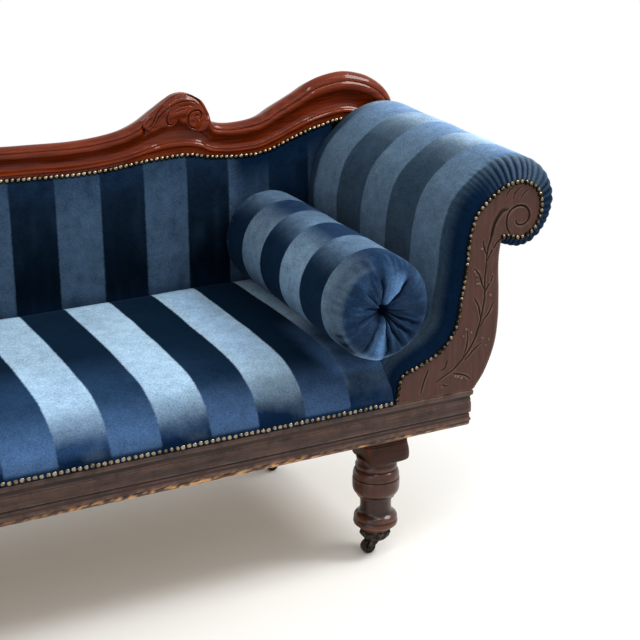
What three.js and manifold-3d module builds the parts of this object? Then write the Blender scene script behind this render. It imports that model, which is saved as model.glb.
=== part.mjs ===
// Fainting couch with one scrolled arm, a serpentine crest rail and turned legs on castors.
// Millimetres. X runs from the foot end to the head end, Y from the front to the back, Z up.
import * as THREE from "three";
import { mergeVertices } from "three/addons/utils/BufferGeometryUtils.js";
import Module from "manifold-3d";

const wasm = await Module();
wasm.setup();

// Driving dimensions
const clearance = 0.3; // gap between pieces that touch
const railLength = 1630; // front seat rail, end to end
const railHeadX = 770; // head end of the rail, from a stripe's edge on the seat
const railDrop = 79; // height of the seat rails
const railThick = 34; // front and foot rails
const mouldingRelief = 7; // depth of the rail's mouldings
const plainRailThick = 34; // head and back rails
const crossRailWidth = 60; // rails under the webbing, over the legs and in the middle
const frameDepth = 600; // front face of the frame to its back face
const castorHeight = 42; // floor to the underside of the leg
const legHeight = 178; // turned part
const blockHeight = 52; // square part above it
const webbingThick = 2.6;
const rebateWidth = 12; // rail top left standing outside the webbing
const coverThick = 1.6; // cloth covers

// Seat pad
const seatHeight = 101; // crown above the rail, in the middle
const seatBackRise = 13; // the seat climbs this much more toward the back
const seatHeadRise = 6; // and this much toward the arm
const armPadFootThick = 8; // the arm pad's thickness at the rail, where it meets the seat
const seatEdgeRound = 105; // how far in from an edge the pad reaches its full height
const seatTuckRound = 16; // rounding along the back and the arm
const seatBulge = 3; // the pad's edge stands this far past the rail
const seatBulgeReach = 35; // how far in from the edge that fades out

// Back
const backDepth = 55; // front face of the crest to the back face of the frame
const crestThick = 52;
const crestFootInset = 160; // foot end of the rail to the foot end of the crest
const crestHeadInset = 13; // end of the arm's scroll to the head end of the crest
const crestRise = 559; // rail top to the crest's highest point
const backPadSetback = 5; // crest face to the back pad's face
const backPadThick = 22;
const backPadCrown = 3;
const backPadDrop = 49; // rail top to the back pad's lower edge
const backPadHeadReach = 150; // past the arm's inner edge
const stileWidth = 52;
const headStileWidth = 24; // at the rail
const coverLap = 14; // outside back cover over the crest's lower edge

// Arm
const armBaseLength = 180; // rail end to the arm's inner edge
const armReach = 326; // inner edge to the end of the scroll
const armRise = 417; // rail top to the scroll's top
const armBoardThick = 28;
const armPadThick = 47;
const armPadRearGain = 24; // extra thickness where the pad meets the back
const armPadEdgeRound = 35;
const rollCentreInset = 54; // scroll end to the roll rail's axis
const rollCentreDrop = 64; // scroll top to the roll rail's axis
const rollRailRadius = 40;
const armCoverInset = 2; // outside cover behind the facing's edge
const armBaseRailWidth = 50;
const armBaseRailHeight = 42;

// Bolster
const bolsterRadius = 103;
const bolsterOverhang = 41; // its front end stands this far past the rail
const bolsterRearRoom = 2; // its back end to the crest's face
const bolsterPastSeat = 62; // it reaches this far past the seat's end, over the arm's foot
const bolsterDrift = 26; // the axis leans this far toward the head at the back
const pleatCount = 8;
const pleatDepth = 3.5;
const bolsterEndDepth = 34; // rim to the sunk centre

// Nails with round heads, one close row
const nailWidth = 8;
const nailProud = 4.5;

// Legs and castors
const legInset = 182; // rail end to a leg's axis
const legSetback = 73; // front face to a leg's axis, and the same from the back
const blockWidth = 100;
const legRadius = 47.5;
const plateRadius = 28.5;
const plateThick = 3.7;
const studRadius = 4;
const studLength = 6;
const wheelRadius = 15;
const wheelWidth = 16;
const wheelSides = 20;
const trail = 17; // swivel axis to wheel axle
const axleRadius = 2.5;
const hubRadius = 17;
const hubThick = 6.4;
const cheekThick = 3.6;
const cheekGap = 0.8; // wheel face to cheek
const runningGap = 0.4; // swivel and axle holes
const axleProud = 1.2; // axle end past the cheek
const bossRadius = 6.5; // cheek round the axle
const roundSides = 20; // facets round legs, plates and hubs
const boreSides = 12; // facets round the axle, the bores and the roll rail

// Derived levels and places
const blockBottom = castorHeight + legHeight;
const railBottom = blockBottom + blockHeight;
const railTop = railBottom + railDrop;
const railFootX = railHeadX - railLength;
const backInner = frameDepth - plainRailThick;
const crestSetback = frameDepth - backDepth;
const crestBack = crestSetback + crestThick;
const backFace = crestSetback + backPadSetback;
const backPadRear = backFace + backPadThick;
const backWebbingRear = backPadRear + clearance + coverThick;
const stileFront = backWebbingRear + clearance;
const stileBack = frameDepth - clearance - coverThick;
const padBottom = railTop + clearance;
const webbingTop = railTop - clearance;
const webbingBottom = webbingTop - webbingThick;
const rebateZ = webbingBottom - clearance;
const armInnerX = railHeadX - armBaseLength;
const armPadFootX = armInnerX - armPadFootThick;
const seatHeadX = armPadFootX - clearance;
const crestFootX = railFootX + crestFootInset;
const crestSpan = armInnerX + armReach - crestHeadInset - crestFootX;
const backPadHeadX = armInnerX + backPadHeadReach;
const bolsterLength = crestSetback - bolsterRearRoom + bolsterOverhang;
const bolsterFrontX = seatHeadX + bolsterPastSeat - bolsterRadius;
const armRear = crestSetback - clearance;
const armSpanDepth = armRear - armBoardThick;
const seatBack = crestSetback - clearance;
const seatFootBack = frameDepth - rebateWidth / 2; // past the crest's foot the pad reaches the back rail

const materials = {
  wornWood: { color: 0x55352a, roughness: 0.5, metalness: 0 },
  polishedWood: { color: 0x74281a, roughness: 0.22, metalness: 0 },
  innerWood: { color: 0xa98a63, roughness: 0.75, metalness: 0 },
  velvet: { color: 0x33507c, roughness: 0.85, metalness: 0 },
  webbing: { color: 0xb59b6c, roughness: 0.95, metalness: 0 },
  brass: { color: 0x8e7446, roughness: 0.4, metalness: 1 },
  castorIron: { color: 0x3a322c, roughness: 0.6, metalness: 0.8 },
};

const couch = new THREE.Group();

function place(name, geometry, finish) {
  const mesh = new THREE.Mesh(geometry, new THREE.MeshStandardMaterial(materials[finish]));
  mesh.name = name;
  couch.add(mesh);
  return mesh;
}

// Closed solid between two grids of points with the same rows and columns
function slab(outer, inner) {
  const rows = outer.length;
  const columns = outer[0].length;
  const positions = [...outer.flat(), ...inner.flat()].flat();
  const faces = [];
  const top = (i, j) => i * columns + j;
  const low = (i, j) => rows * columns + i * columns + j;
  const quad = (a, b, c, d) => faces.push(a, b, c, a, c, d);
  for (let i = 0; i < rows - 1; i++) {
    for (let j = 0; j < columns - 1; j++) {
      quad(top(i, j), top(i + 1, j), top(i + 1, j + 1), top(i, j + 1));
      quad(low(i, j), low(i, j + 1), low(i + 1, j + 1), low(i + 1, j));
    }
    quad(top(i, 0), low(i, 0), low(i + 1, 0), top(i + 1, 0));
    quad(top(i, columns - 1), top(i + 1, columns - 1), low(i + 1, columns - 1), low(i, columns - 1));
  }
  for (let j = 0; j < columns - 1; j++) {
    quad(top(0, j), top(0, j + 1), low(0, j + 1), low(0, j));
    quad(top(rows - 1, j), low(rows - 1, j), low(rows - 1, j + 1), top(rows - 1, j + 1));
  }
  if (signedVolume(positions, faces) < 0) faces.reverse();
  const geometry = new THREE.BufferGeometry();
  geometry.setAttribute("position", new THREE.Float32BufferAttribute(positions, 3));
  geometry.setIndex(faces);
  return geometry;
}

function signedVolume(positions, faces) {
  const corner = (k) => new THREE.Vector3().fromArray(positions, faces[k] * 3);
  let volume = 0;
  for (let k = 0; k < faces.length; k += 3) {
    volume += corner(k).dot(corner(k + 1).cross(corner(k + 2)));
  }
  return volume;
}

function block(x0, x1, y0, y1, z0, z1) {
  const geometry = new THREE.BoxGeometry(x1 - x0, y1 - y0, z1 - z0);
  return geometry.translate((x0 + x1) / 2, (y0 + y1) / 2, (z0 + z1) / 2);
}

// Board cut from an outline in X and Z, from y0 back to y1
function board(points, y0, y1) {
  const shape = new THREE.Shape(points.map(([x, z]) => new THREE.Vector2(x, z)));
  const geometry = new THREE.ExtrudeGeometry(shape, { depth: y1 - y0, bevelEnabled: false });
  return geometry.rotateX(Math.PI / 2).translate(0, y1, 0);
}

// Turned piece with its axis along Z
function turned(profile, sides) {
  const points = profile.map(([radius, z]) => new THREE.Vector2(radius, z));
  return new THREE.LatheGeometry(points, sides).rotateX(Math.PI / 2);
}

function solidOf(geometry) {
  const bare = geometry.clone();
  bare.deleteAttribute("normal");
  bare.deleteAttribute("uv");
  const merged = mergeVertices(bare);
  const vertProperties = Float32Array.from(merged.attributes.position.array);
  const triVerts = Uint32Array.from(merged.index.array);
  return new wasm.Manifold(new wasm.Mesh({ numProp: 3, vertProperties, triVerts }));
}

function geometryOf(solid) {
  const mesh = solid.getMesh();
  const geometry = new THREE.BufferGeometry();
  geometry.setAttribute("position", new THREE.Float32BufferAttribute(mesh.vertProperties, 3));
  geometry.setIndex([...mesh.triVerts]);
  return geometry;
}

const mix = (a, b, share) => a + (b - a) * share;
const ease = (share) => {
  const s = Math.min(1, Math.max(0, share));
  return s * s * (3 - 2 * s);
};

// Value at a place along a table of [place, value] pairs
function alongTable(table, place) {
  const next = table.findIndex(([at]) => at >= place);
  if (next < 0) return table[table.length - 1][1];
  if (next === 0) return table[0][1];
  const [a, b] = [table[next - 1], table[next]];
  return mix(a[1], b[1], (place - a[0]) / (b[0] - a[0]));
}

// Smooth curve in X and Z through shares of a span and a rise
function outlineCurve(shares, x, z, span, rise) {
  const points = shares.map(([a, b]) => new THREE.Vector3(x + a * span, 0, z + b * rise));
  return new THREE.CatmullRomCurve3(points, false, "centripetal");
}

// Arm outline: the inner edge climbs from the rail, rolls over the scroll and curls under it
const armInnerShares = [
  [0.0, 0.001], [0.006, 0.06], [0.04, 0.137], [0.16, 0.175], [0.298, 0.227], [0.402, 0.324],
  [0.439, 0.468], [0.466, 0.588], [0.488, 0.755], [0.537, 0.87], [0.62, 0.933], [0.724, 0.986],
  [0.831, 1.0], [0.942, 0.971], [1.0, 0.909], [0.991, 0.826], [0.936, 0.758], [0.85, 0.731],
  [0.761, 0.765],
];
const armOuterShares = [
  [0.718, 0.731], [0.702, 0.635], [0.712, 0.484], [0.715, 0.333], [0.693, 0.209], [0.626, 0.079],
  [0.555, 0.001],
];
const armSteps = 40;
const webEndShare = 0.93; // the arm webbing stops under the scroll
const armOuterSteps = 14;
const armInner = outlineCurve(armInnerShares, armInnerX, railTop + clearance, armReach, armRise);
const armOuter = outlineCurve(armOuterShares, armInnerX, railTop + clearance, armReach, armRise);

// Point of a curve pushed sideways, positive to the left of its run
function pushed(curve, share, distance) {
  const point = curve.getPointAt(share);
  const run = curve.getTangentAt(share);
  return [point.x - run.z * distance, point.z + run.x * distance];
}

function pushedLine(curve, steps, distance) {
  return Array.from({ length: steps + 1 }, (_, i) => pushed(curve, i / steps, distance));
}

// Crest outline: paired points of its upper and lower edge, foot end to head end
const crestPairShares = [
  [0.004, 0.0, 0.064, 0.0], [0.002, 0.075, 0.0655, 0.07], [0.003, 0.184, 0.067, 0.184],
  [0.009, 0.251, 0.069, 0.24], [0.028, 0.3, 0.075, 0.293], [0.047, 0.372, 0.09, 0.353],
  [0.081, 0.491, 0.119, 0.454], [0.131, 0.619, 0.162, 0.552], [0.187, 0.72, 0.212, 0.628],
  [0.25, 0.791, 0.268, 0.681], [0.318, 0.828, 0.331, 0.707], [0.387, 0.837, 0.393, 0.716],
  [0.462, 0.832, 0.465, 0.713], [0.534, 0.83, 0.532, 0.709], [0.588, 0.849, 0.586, 0.719],
  [0.616, 0.878, 0.606, 0.726], [0.644, 0.931, 0.628, 0.733], [0.666, 0.97, 0.652, 0.738],
  [0.68, 0.973, 0.677, 0.738], [0.701, 0.947, 0.699, 0.731], [0.715, 0.886, 0.711, 0.722],
  [0.723, 0.85, 0.72, 0.72], [0.744, 0.84, 0.742, 0.713], [0.788, 0.853, 0.783, 0.713],
  [0.818, 0.896, 0.805, 0.726], [0.848, 0.938, 0.833, 0.755], [0.879, 0.983, 0.861, 0.782],
  [0.918, 1.0, 0.895, 0.807], [0.95, 0.983, 0.917, 0.816], [0.974, 0.949, 0.936, 0.806],
  [0.991, 0.905, 0.947, 0.782], [0.999, 0.859, 0.953, 0.753], [1.0, 0.811, 0.956, 0.726],
];
const crestSteps = 50;
const upperShares = crestPairShares.map(([a, b]) => [a, b]);
const lowerShares = crestPairShares.map(([, , a, b]) => [a, b]);
const crestUpper = outlineCurve(upperShares, crestFootX, padBottom, crestSpan, crestRise - clearance);
const crestLower = outlineCurve(lowerShares, crestFootX, padBottom, crestSpan, crestRise - clearance);
const crestLowerLine = crestLower.getPoints(crestSteps).map((p) => [p.x, p.z]);

// Section of the crest from its lower edge up: share of the width, depth behind the face in shares
// of the thickness. The back face stops short of the rounded top
const crestSectionShares = [
  [0, 0.1], [0.16, 0.1], [0.22, 0.2], [0.36, 0.17], [0.5, 0.03], [0.68, 0.0], [0.86, 0.06],
  [1, 0.36],
];
const crestBackShare = 0.88;

function crestRail() {
  const outer = [];
  const inner = [];
  for (let i = 0; i <= crestSteps; i++) {
    const high = crestUpper.getPoint(i / crestSteps);
    const low = crestLower.getPoint(i / crestSteps);
    const across = (share) => [mix(low.x, high.x, share), mix(low.z, high.z, share)];
    outer.push(crestSectionShares.map(([share, depth]) => {
      const [x, z] = across(share);
      return [x, crestSetback + depth * crestThick, z];
    }));
    inner.push(crestSectionShares.map(([share]) => {
      const [x, z] = across(share * crestBackShare);
      return [x, crestBack, z];
    }));
  }
  return slab(outer, inner);
}

// Lowest point of the crest's lower edge between two places
function crestLowBetween(x0, x1) {
  const inside = crestLowerLine.filter(([x]) => x >= x0 && x <= x1).map(([, z]) => z);
  return Math.min(...inside, alongTable(crestLowerLine, x0), alongTable(crestLowerLine, x1));
}

// Sheet that fills the back below the crest: rows of [x, top] with one depth function
function backPanel(footX, headX, bottom, lift, frontOf, rear, rows) {
  const outer = [];
  const inner = [];
  const stations = crestLowerLine.map(([x]) => x).filter((x) => x > footX && x < headX);
  for (const x of [footX, ...stations, headX]) {
    const top = alongTable(crestLowerLine, x) + lift;
    const column = Array.from({ length: rows + 1 }, (_, j) => mix(bottom, top, j / rows));
    outer.push(column.map((z, j) => [x, frontOf((x - footX) / (headX - footX), j / rows), z]));
    inner.push(column.map((z) => [x, rear, z]));
  }
  return slab(outer, inner);
}

// Moulded rail section, top to bottom: share of the drop, share of the relief
const mouldingShares = [
  [0, 1], [0.13, 1], [0.17, 0.35], [0.27, 0.95], [0.42, 1.0], [0.56, 0.6], [0.62, 0.15],
  [0.7, 0.75], [0.78, 0.75], [0.84, 0.3], [1, 0.45],
];

// Moulded rail from one end to the other, its mouldings returned at both ends
function mouldedRail(start, end) {
  const outer = [];
  const inner = [];
  for (const [at, side] of [[start, -1], [end, 1]]) {
    outer.push(mouldingShares.map(([drop, relief]) => {
      const back = (1 - relief) * mouldingRelief;
      return [at - side * back, back, railTop - drop * railDrop];
    }));
    inner.push(mouldingShares.map(([drop, relief], k) => {
      const y = k < 2 ? rebateWidth : railThick;
      const z = k === 0 ? railTop : Math.min(railTop - drop * railDrop, rebateZ);
      const back = (1 - relief) * mouldingRelief;
      return [at - side * back, y, k === 1 ? rebateZ : z];
    }));
  }
  return slab(outer, inner);
}

// Foot end rail: the same mouldings, running front to back
function footEndRail() {
  const y0 = railThick + clearance;
  const y1 = backInner - clearance;
  const outer = [];
  const inner = [];
  for (const y of [y0, y1]) {
    outer.push(mouldingShares.map(([drop, relief]) => (
      [railFootX + (1 - relief) * mouldingRelief, y, railTop - drop * railDrop]
    )));
    inner.push(mouldingShares.map(([drop], k) => {
      const x = k < 2 ? rebateWidth : railThick;
      const z = k === 0 ? railTop : Math.min(railTop - drop * railDrop, rebateZ);
      return [railFootX + x, y, z];
    }));
  }
  return slab(outer, inner);
}

// Plain rail with a rebate along the edge that carries the webbing
function plainRail(x0, x1, y0, y1, cutX0, cutX1, cutY0, cutY1) {
  const whole = solidOf(block(x0, x1, y0, y1, railBottom, railTop));
  const over = clearance + webbingThick;
  const cut = solidOf(block(cutX0, cutX1, cutY0, cutY1, rebateZ, railTop + over));
  return geometryOf(whole.subtract(cut));
}

function seatFrame() {
  const headRailX = railHeadX - plainRailThick;
  const y0 = railThick + clearance;
  const y1 = backInner - clearance;
  place("front_seat_rail", mouldedRail(railFootX, railHeadX), "wornWood");
  place("foot_end_rail", footEndRail(), "wornWood");
  const headCutX = railHeadX - rebateWidth;
  const over = railThick;
  place("head_end_rail", plainRail(headRailX, railHeadX, y0, y1, headRailX - over, headCutX,
    y0 - over, y1 + over), "wornWood");
  place("back_seat_rail", plainRail(railFootX, railHeadX, backInner, frameDepth,
    railFootX + rebateWidth, railHeadX - rebateWidth, backInner - over,
    frameDepth - stileRoom()), "wornWood");
  const crossX = { foot: railFootX + legInset, head: railHeadX - legInset };
  const crossTop = rebateZ - clearance;
  const middleX = (crossX.foot + crossX.head) / 2;
  for (const [name, x] of [["foot", crossX.foot], ["middle", middleX], ["head", crossX.head]]) {
    place(`${name}_cross_rail`, block(x - crossRailWidth / 2, x + crossRailWidth / 2, y0, y1,
      railBottom, crossTop), "innerWood");
  }
}

// Rail width behind the rebate that the stiles and the back webbing stand on
function stileRoom() {
  return frameDepth - backPadRear;
}

function seatWebbing() {
  const inset = rebateWidth + clearance;
  place("seat_webbing", block(railFootX + inset, railHeadX - inset, inset,
    backPadRear - clearance, webbingBottom, webbingTop), "webbing");
}

function dustCover() {
  const top = railBottom - clearance;
  let sheet = solidOf(block(railFootX + rebateWidth, railHeadX - rebateWidth, rebateWidth,
    frameDepth - rebateWidth, top - coverThick, top));
  for (const { x, y } of legPlaces()) {
    const half = blockWidth / 2 + clearance;
    const over = coverThick;
    sheet = sheet.subtract(solidOf(block(x - half, x + half, y - half, y + half,
      top - coverThick - over, top + over)));
  }
  place("dust_cover", geometryOf(sheet), "webbing");
}

// Height of the seat's crown above the rail at a place
function seatCrown(x, y) {
  const along = (x - railFootX) / (seatHeadX - railFootX);
  const deep = y / frameDepth;
  const backRise = seatBackRise * ease((deep - backRiseShare) / (1 - backRiseShare));
  const headRise = seatHeadRise * ease((along - headRiseShare) / (1 - headRiseShare));
  return seatHeight + backRise + headRise;
}
const backRiseShare = 0.4;
const headRiseShare = 0.7;

// Edge of the seat pad: share of the edge round, share of the height. It is drawn in at the nails
const seatDrawnShare = (nailWidth + clearance * 2) / seatHeight;
const seatEdgeShares = [
  [0, 0.02], [0.003, seatDrawnShare], [0.012, 0.28], [0.07, 0.48], [0.18, 0.65], [0.37, 0.83],
  [0.63, 0.94], [1, 1],
];
const seatTuckShares = [[0, 0.9], [0.35, 0.97], [1, 1]];
const seatBulgeShare = 0.5; // share of the height that the bulge takes, from the nails up
const seatColumns = 12;
const seatRows = 5;

// Places across the pad and the share of full height there, one open edge and one tucked edge
function padStations(open, tucked, count) {
  const edge = seatEdgeShares.map(([inset, height]) => [open + inset * seatEdgeRound, height]);
  const from = open + seatEdgeRound;
  const to = tucked - seatTuckRound;
  const middle = Array.from({ length: count - 1 }, (_, i) => [mix(from, to, (i + 1) / count), 1]);
  const tuck = [...seatTuckShares].reverse().map(([inset, height]) => (
    [tucked - inset * seatTuckRound, height]
  ));
  return [...edge, ...middle, ...tuck];
}

function seatPad() {
  const stepX = crestFootX - clearance;
  const columns = padStations(railFootX, seatHeadX, seatColumns);
  const split = columns.findIndex(([x]) => x > stepX);
  columns.splice(split, 0, [stepX - seatTuckRound, 1], [stepX, 1]);
  const rowsAt = (x) => padStations(0, x < stepX ? seatFootBack : seatBack, seatRows);
  const outer = columns.map(([x, a]) => rowsAt(x).map(([y, b]) => {
    const rise = a * b;
    const swell = Math.min(1, Math.max(0, (rise - seatDrawnShare) / seatBulgeShare));
    const bulge = seatBulge * Math.sin(Math.PI * swell);
    const footShare = Math.max(0, 1 - (x - railFootX) / seatBulgeReach);
    const frontShare = Math.max(0, 1 - y / seatBulgeReach);
    return [x - bulge * footShare, y - bulge * frontShare, padBottom + rise * seatCrown(x, y)];
  }));
  const inner = columns.map(([x]) => rowsAt(x).map(([y]) => [x, y, padBottom]));
  place("seat_pad", slab(outer, inner), "velvet");
}

// Thickness of the arm pad along the arm's inner edge, in shares
const armPadShares = [[0, 1], [0.55, 1], [0.73, 0.94], [0.83, 0.9], [0.9, 0.68], [0.957, 0.33], [1, 0.3]];
const rearGainShares = [
  [0, 0], [0.25, 0], [0.5, 1], [0.65, 1.2], [0.78, 1.3], [0.87, 1], [0.95, 0.3], [1, 0],
];
const edgeRoundShares = [0, 0.07, 0.25, 0.55, 1];
const padLengthShares = [0.25, 0.5, 0.75, 1];
const padEdgeShare = 0.12; // thickness left at the nails

function armPad() {
  const stations = edgeRoundShares.map((v) => {
    const swell = Math.sqrt(1 - (1 - v) ** 2);
    return [v * armPadEdgeRound, mix(padEdgeShare, 1, swell)];
  });
  for (const share of padLengthShares) {
    stations.push([mix(armPadEdgeRound, armRear, share), 1]);
  }
  const outer = [];
  const inner = [];
  for (const [y, swell] of stations) {
    const line = [];
    for (let i = 0; i <= armSteps; i++) {
      const u = i / armSteps;
      const gain = armPadRearGain * alongTable(rearGainShares, u) * (y / armRear);
      const thick = (armPadThick * alongTable(armPadShares, u) + gain) * swell;
      const [x, z] = pushed(armInner, u, thick);
      line.push([Math.max(x, armPadFootX), y, Math.max(z, padBottom)]);
    }
    outer.push(line);
    inner.push(pushedLine(armInner, armSteps, 0).map(([x, z]) => [x, y, z]));
  }
  place("arm_pad", slab(outer, inner), "velvet");
}

// Outline of an arm board: inside the pad's line, inside the outer line, flat on the rail
function armOutline(inset, outerInset) {
  const inside = pushedLine(armInner, armSteps, -inset);
  const outside = pushedLine(armOuter, armOuterSteps, -outerInset);
  const base = padBottom;
  const raised = (points) => points.map(([x, z]) => [x, Math.max(z, base)]);
  return [...raised(inside), ...raised(outside)];
}

function arm() {
  const webInset = clearance * 2 + webbingThick;
  place("arm_facing", board(armOutline(clearance, 0), 0, armBoardThick), "wornWood");
  const rearInset = armCoverInset + coverThick + clearance;
  place("arm_rear_board", board(armOutline(clearance, rearInset), armSpanDepth, armRear), "innerWood");
  const y0 = armBoardThick + clearance;
  const y1 = armSpanDepth - clearance;
  const webSteps = Math.round(webEndShare * armSteps);
  const ring = (distance, y) => pushedLine(armInner, armSteps, distance).slice(0, webSteps)
    .map(([x, z]) => [x, y, Math.max(z, padBottom)]);
  const webOuter = [ring(-clearance, y0), ring(-clearance, y1)];
  const webInner = [ring(-webInset, y0), ring(-webInset, y1)];
  place("arm_webbing", slab(webOuter, webInner), "webbing");
  const sheet = (distance, y) => pushedLine(armOuter, armOuterSteps, distance).map(([x, z]) => (
    [x, y, Math.max(z, padBottom)]
  ));
  const coverInner = armCoverInset + coverThick;
  place("outside_arm_cover", slab(
    [sheet(-armCoverInset, y0), sheet(-armCoverInset, stileBack)],
    [sheet(-coverInner, y0), sheet(-coverInner, stileBack)],
  ), "velvet");
  const rollX = armInnerX + armReach - rollCentreInset;
  const rollZ = railTop + armRise - rollCentreDrop;
  const roll = new THREE.CylinderGeometry(rollRailRadius, rollRailRadius, y1 - y0, boreSides);
  place("arm_roll_rail", roll.translate(rollX, (y0 + y1) / 2, rollZ), "innerWood");
  const baseHeadX = railHeadX - plainRailThick;
  place("arm_base_rail", block(baseHeadX - armBaseRailWidth, baseHeadX, y0, y1,
    padBottom, padBottom + armBaseRailHeight), "innerWood");
}

// Board behind the crest's lower edge and the arm's outer edge, from a place on the back to the arm.
// Its top follows the crest from the second place on
function backBoard(fromX, topFromX, inset, lift, y0, y1) {
  const side = pushedLine(armOuter, armOuterSteps, -inset).reverse()
    .map(([x, z]) => [x, Math.max(z, padBottom)]);
  const over = crestLowerLine.filter(([x]) => x > topFromX).reverse().map(([x, z]) => [x, z + lift]);
  const last = [fromX, alongTable(crestLowerLine, topFromX) + lift];
  return board([[fromX, padBottom], ...side, ...over, last], y0, y1);
}

function back() {
  place("crest_rail", crestRail(), "polishedWood");
  const footX = crestFootX + backFootShare * crestSpan;
  const bottom = railTop + backPadDrop;
  const crown = (a, b) => backFace - backPadCrown * Math.sin(Math.PI * a) * Math.sin(Math.PI * b);
  place("back_pad", backPanel(footX, backPadHeadX, bottom, -clearance, crown, backPadRear,
    4), "velvet");
  const webFront = backPadRear + clearance;
  place("back_webbing", backPanel(footX, backPadHeadX, padBottom, -clearance, () => webFront,
    backWebbingRear, 1), "webbing");
  const half = stileWidth / 2;
  const stileX = {
    foot: footX + half,
    low: crestFootX + lowStileShare * crestSpan,
    middle: crestFootX + middleStileShare * crestSpan,
  };
  for (const [name, x] of Object.entries(stileX)) {
    const top = crestLowBetween(x - half, x + half) - clearance;
    place(`${name}_stile`, block(x - half, x + half, stileFront, stileBack, padBottom, top), "innerWood");
  }
  const coverFront = frameDepth - coverThick;
  const edge = armCoverInset + coverThick + clearance;
  const headFrom = armOuter.getPoint(1).x - edge - headStileWidth;
  place("head_stile", backBoard(headFrom, headFrom, edge, -clearance, stileFront, stileBack),
    "innerWood");
  place("outside_back_cover", backBoard(footX - coverLap, footX, armCoverInset, coverLap,
    coverFront, frameDepth), "velvet");
}
const backFootShare = 0.0705; // of the crest's span, where the back starts beside its foot
const lowStileShare = 0.27;
const middleStileShare = 0.55;

// Close row of round heads as one bead along a line, standing out from the face
function bead(line, sideways, outward) {
  const strip = (shares) => line.map((point, i) => shares.map(([across, proud]) => {
    const side = sideways(i);
    return point.map((value, k) => (
      value + side[k] * across * nailWidth / 2 + outward[k] * (clearance + proud * nailProud)
    ));
  }));
  const domeShares = [[-1, 0.3], [0, 1], [1, 0.3]];
  const flatShares = domeShares.map(([across]) => [across, 0]);
  return slab(strip(domeShares), strip(flatShares));
}

function nailRows() {
  const z = railTop + clearance + nailWidth / 2;
  const up = () => [0, 0, 1];
  const frontRow = [[railFootX, 0, z], [armInnerX - nailWidth, 0, z]];
  const footRow = [[railFootX, nailWidth, z], [railFootX, seatBack, z]];
  place("seat_front_nails", bead(frontRow, up, [0, -1, 0]), "brass");
  place("seat_foot_nails", bead(footRow, up, [-1, 0, 0]), "brass");
  const crestLine = [];
  const face = crestSetback + crestSectionShares[0][1] * crestThick;
  const crestSides = [];
  const seatTop = padBottom + seatHeight + seatBackRise;
  for (let i = 0; i <= crestSteps; i++) {
    const u = i / crestSteps;
    const point = crestLower.getPoint(u);
    if (point.z < seatTop + nailWidth) continue;
    if (point.x > backPadHeadX - nailWidth) break;
    const run = crestLower.getTangent(u);
    crestLine.push([point.x, face, point.z]);
    crestSides.push([-run.z, 0, run.x]);
  }
  place("crest_nails", bead(crestLine, (i) => crestSides[i], [0, -1, 0]), "brass");
  const armLine = [];
  const armSides = [];
  for (let i = 1; i <= armSteps; i++) {
    const u = i / armSteps;
    const [x, nailZ] = pushed(armInner, u, 0);
    const run = armInner.getTangentAt(u);
    armLine.push([x, 0, Math.max(nailZ, z)]);
    armSides.push([-run.z, 0, run.x]);
  }
  place("arm_nails", bead(armLine, (i) => armSides[i], [0, -1, 0]), "brass");
}

// End of the bolster, centre to rim: share of the radius, share of the end depth, pleat share
const bolsterEndShares = [
  [0, 0.62, 0], [0.07, 0.5, 0], [0.12, 0.12, 0.3], [0.4, 0.02, 1], [0.68, 0.05, 1],
  [0.86, 0.2, 0.5], [0.96, 0.5, 0.2], [1, 1, 0],
];
const bolsterMiddleShares = [0.33, 0.67];
const bolsterSides = 32;
const bolsterSamples = 20; // places along it where the seat is felt for

function bolster() {
  const end = bolsterEndShares.map(([r, d]) => [r * bolsterRadius, d * bolsterEndDepth]);
  const middle = bolsterMiddleShares.map((share) => (
    [bolsterRadius, mix(bolsterEndDepth, bolsterLength - bolsterEndDepth, share)]
  ));
  const far = [...end].reverse().map(([r, y]) => [r, bolsterLength - y]);
  const profile = [...end, ...middle, ...far].map(([r, y]) => new THREE.Vector2(r, y));
  const geometry = new THREE.LatheGeometry(profile, bolsterSides);
  const position = geometry.attributes.position;
  const pleatTable = bolsterEndShares.map(([r, , pleat]) => [r * bolsterRadius, pleat]);
  for (let i = 0; i < position.count; i++) {
    const [x, y, z] = [position.getX(i), position.getY(i), position.getZ(i)];
    const radius = Math.hypot(x, z);
    const nearFront = y < bolsterLength / 2;
    const fold = (1 + Math.cos(pleatCount * Math.atan2(z, x))) / 2;
    const pleat = pleatDepth * fold * alongTable(pleatTable, radius);
    if (radius < bolsterRadius - clearance) position.setY(i, y + (nearFront ? pleat : -pleat));
  }
  const lean = Math.atan2(bolsterDrift, bolsterLength);
  const seatAt = (share) => {
    const x = bolsterFrontX + share * bolsterDrift;
    return padBottom + seatCrown(x, share * bolsterLength - bolsterOverhang) + bolsterRadius;
  };
  const slope = Math.atan2(seatAt(1) - seatAt(0), bolsterLength);
  const samples = Array.from({ length: bolsterSamples + 1 }, (_, i) => i / bolsterSamples);
  const lift = Math.max(...samples.map((share) => seatAt(share) - mix(seatAt(0), seatAt(1), share)));
  geometry.rotateZ(-lean).rotateX(slope);
  geometry.translate(bolsterFrontX, -bolsterOverhang, seatAt(0) + lift + clearance);
  place("bolster", geometry, "velvet");
}

function legPlaces() {
  const x = { foot: railFootX + legInset, head: railHeadX - legInset };
  const y = { front: legSetback, back: frameDepth - legSetback };
  const places = [];
  for (const [side, py] of Object.entries(y)) {
    for (const [end, px] of Object.entries(x)) places.push({ name: `${side}_${end}`, x: px, y: py });
  }
  return places;
}

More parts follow.
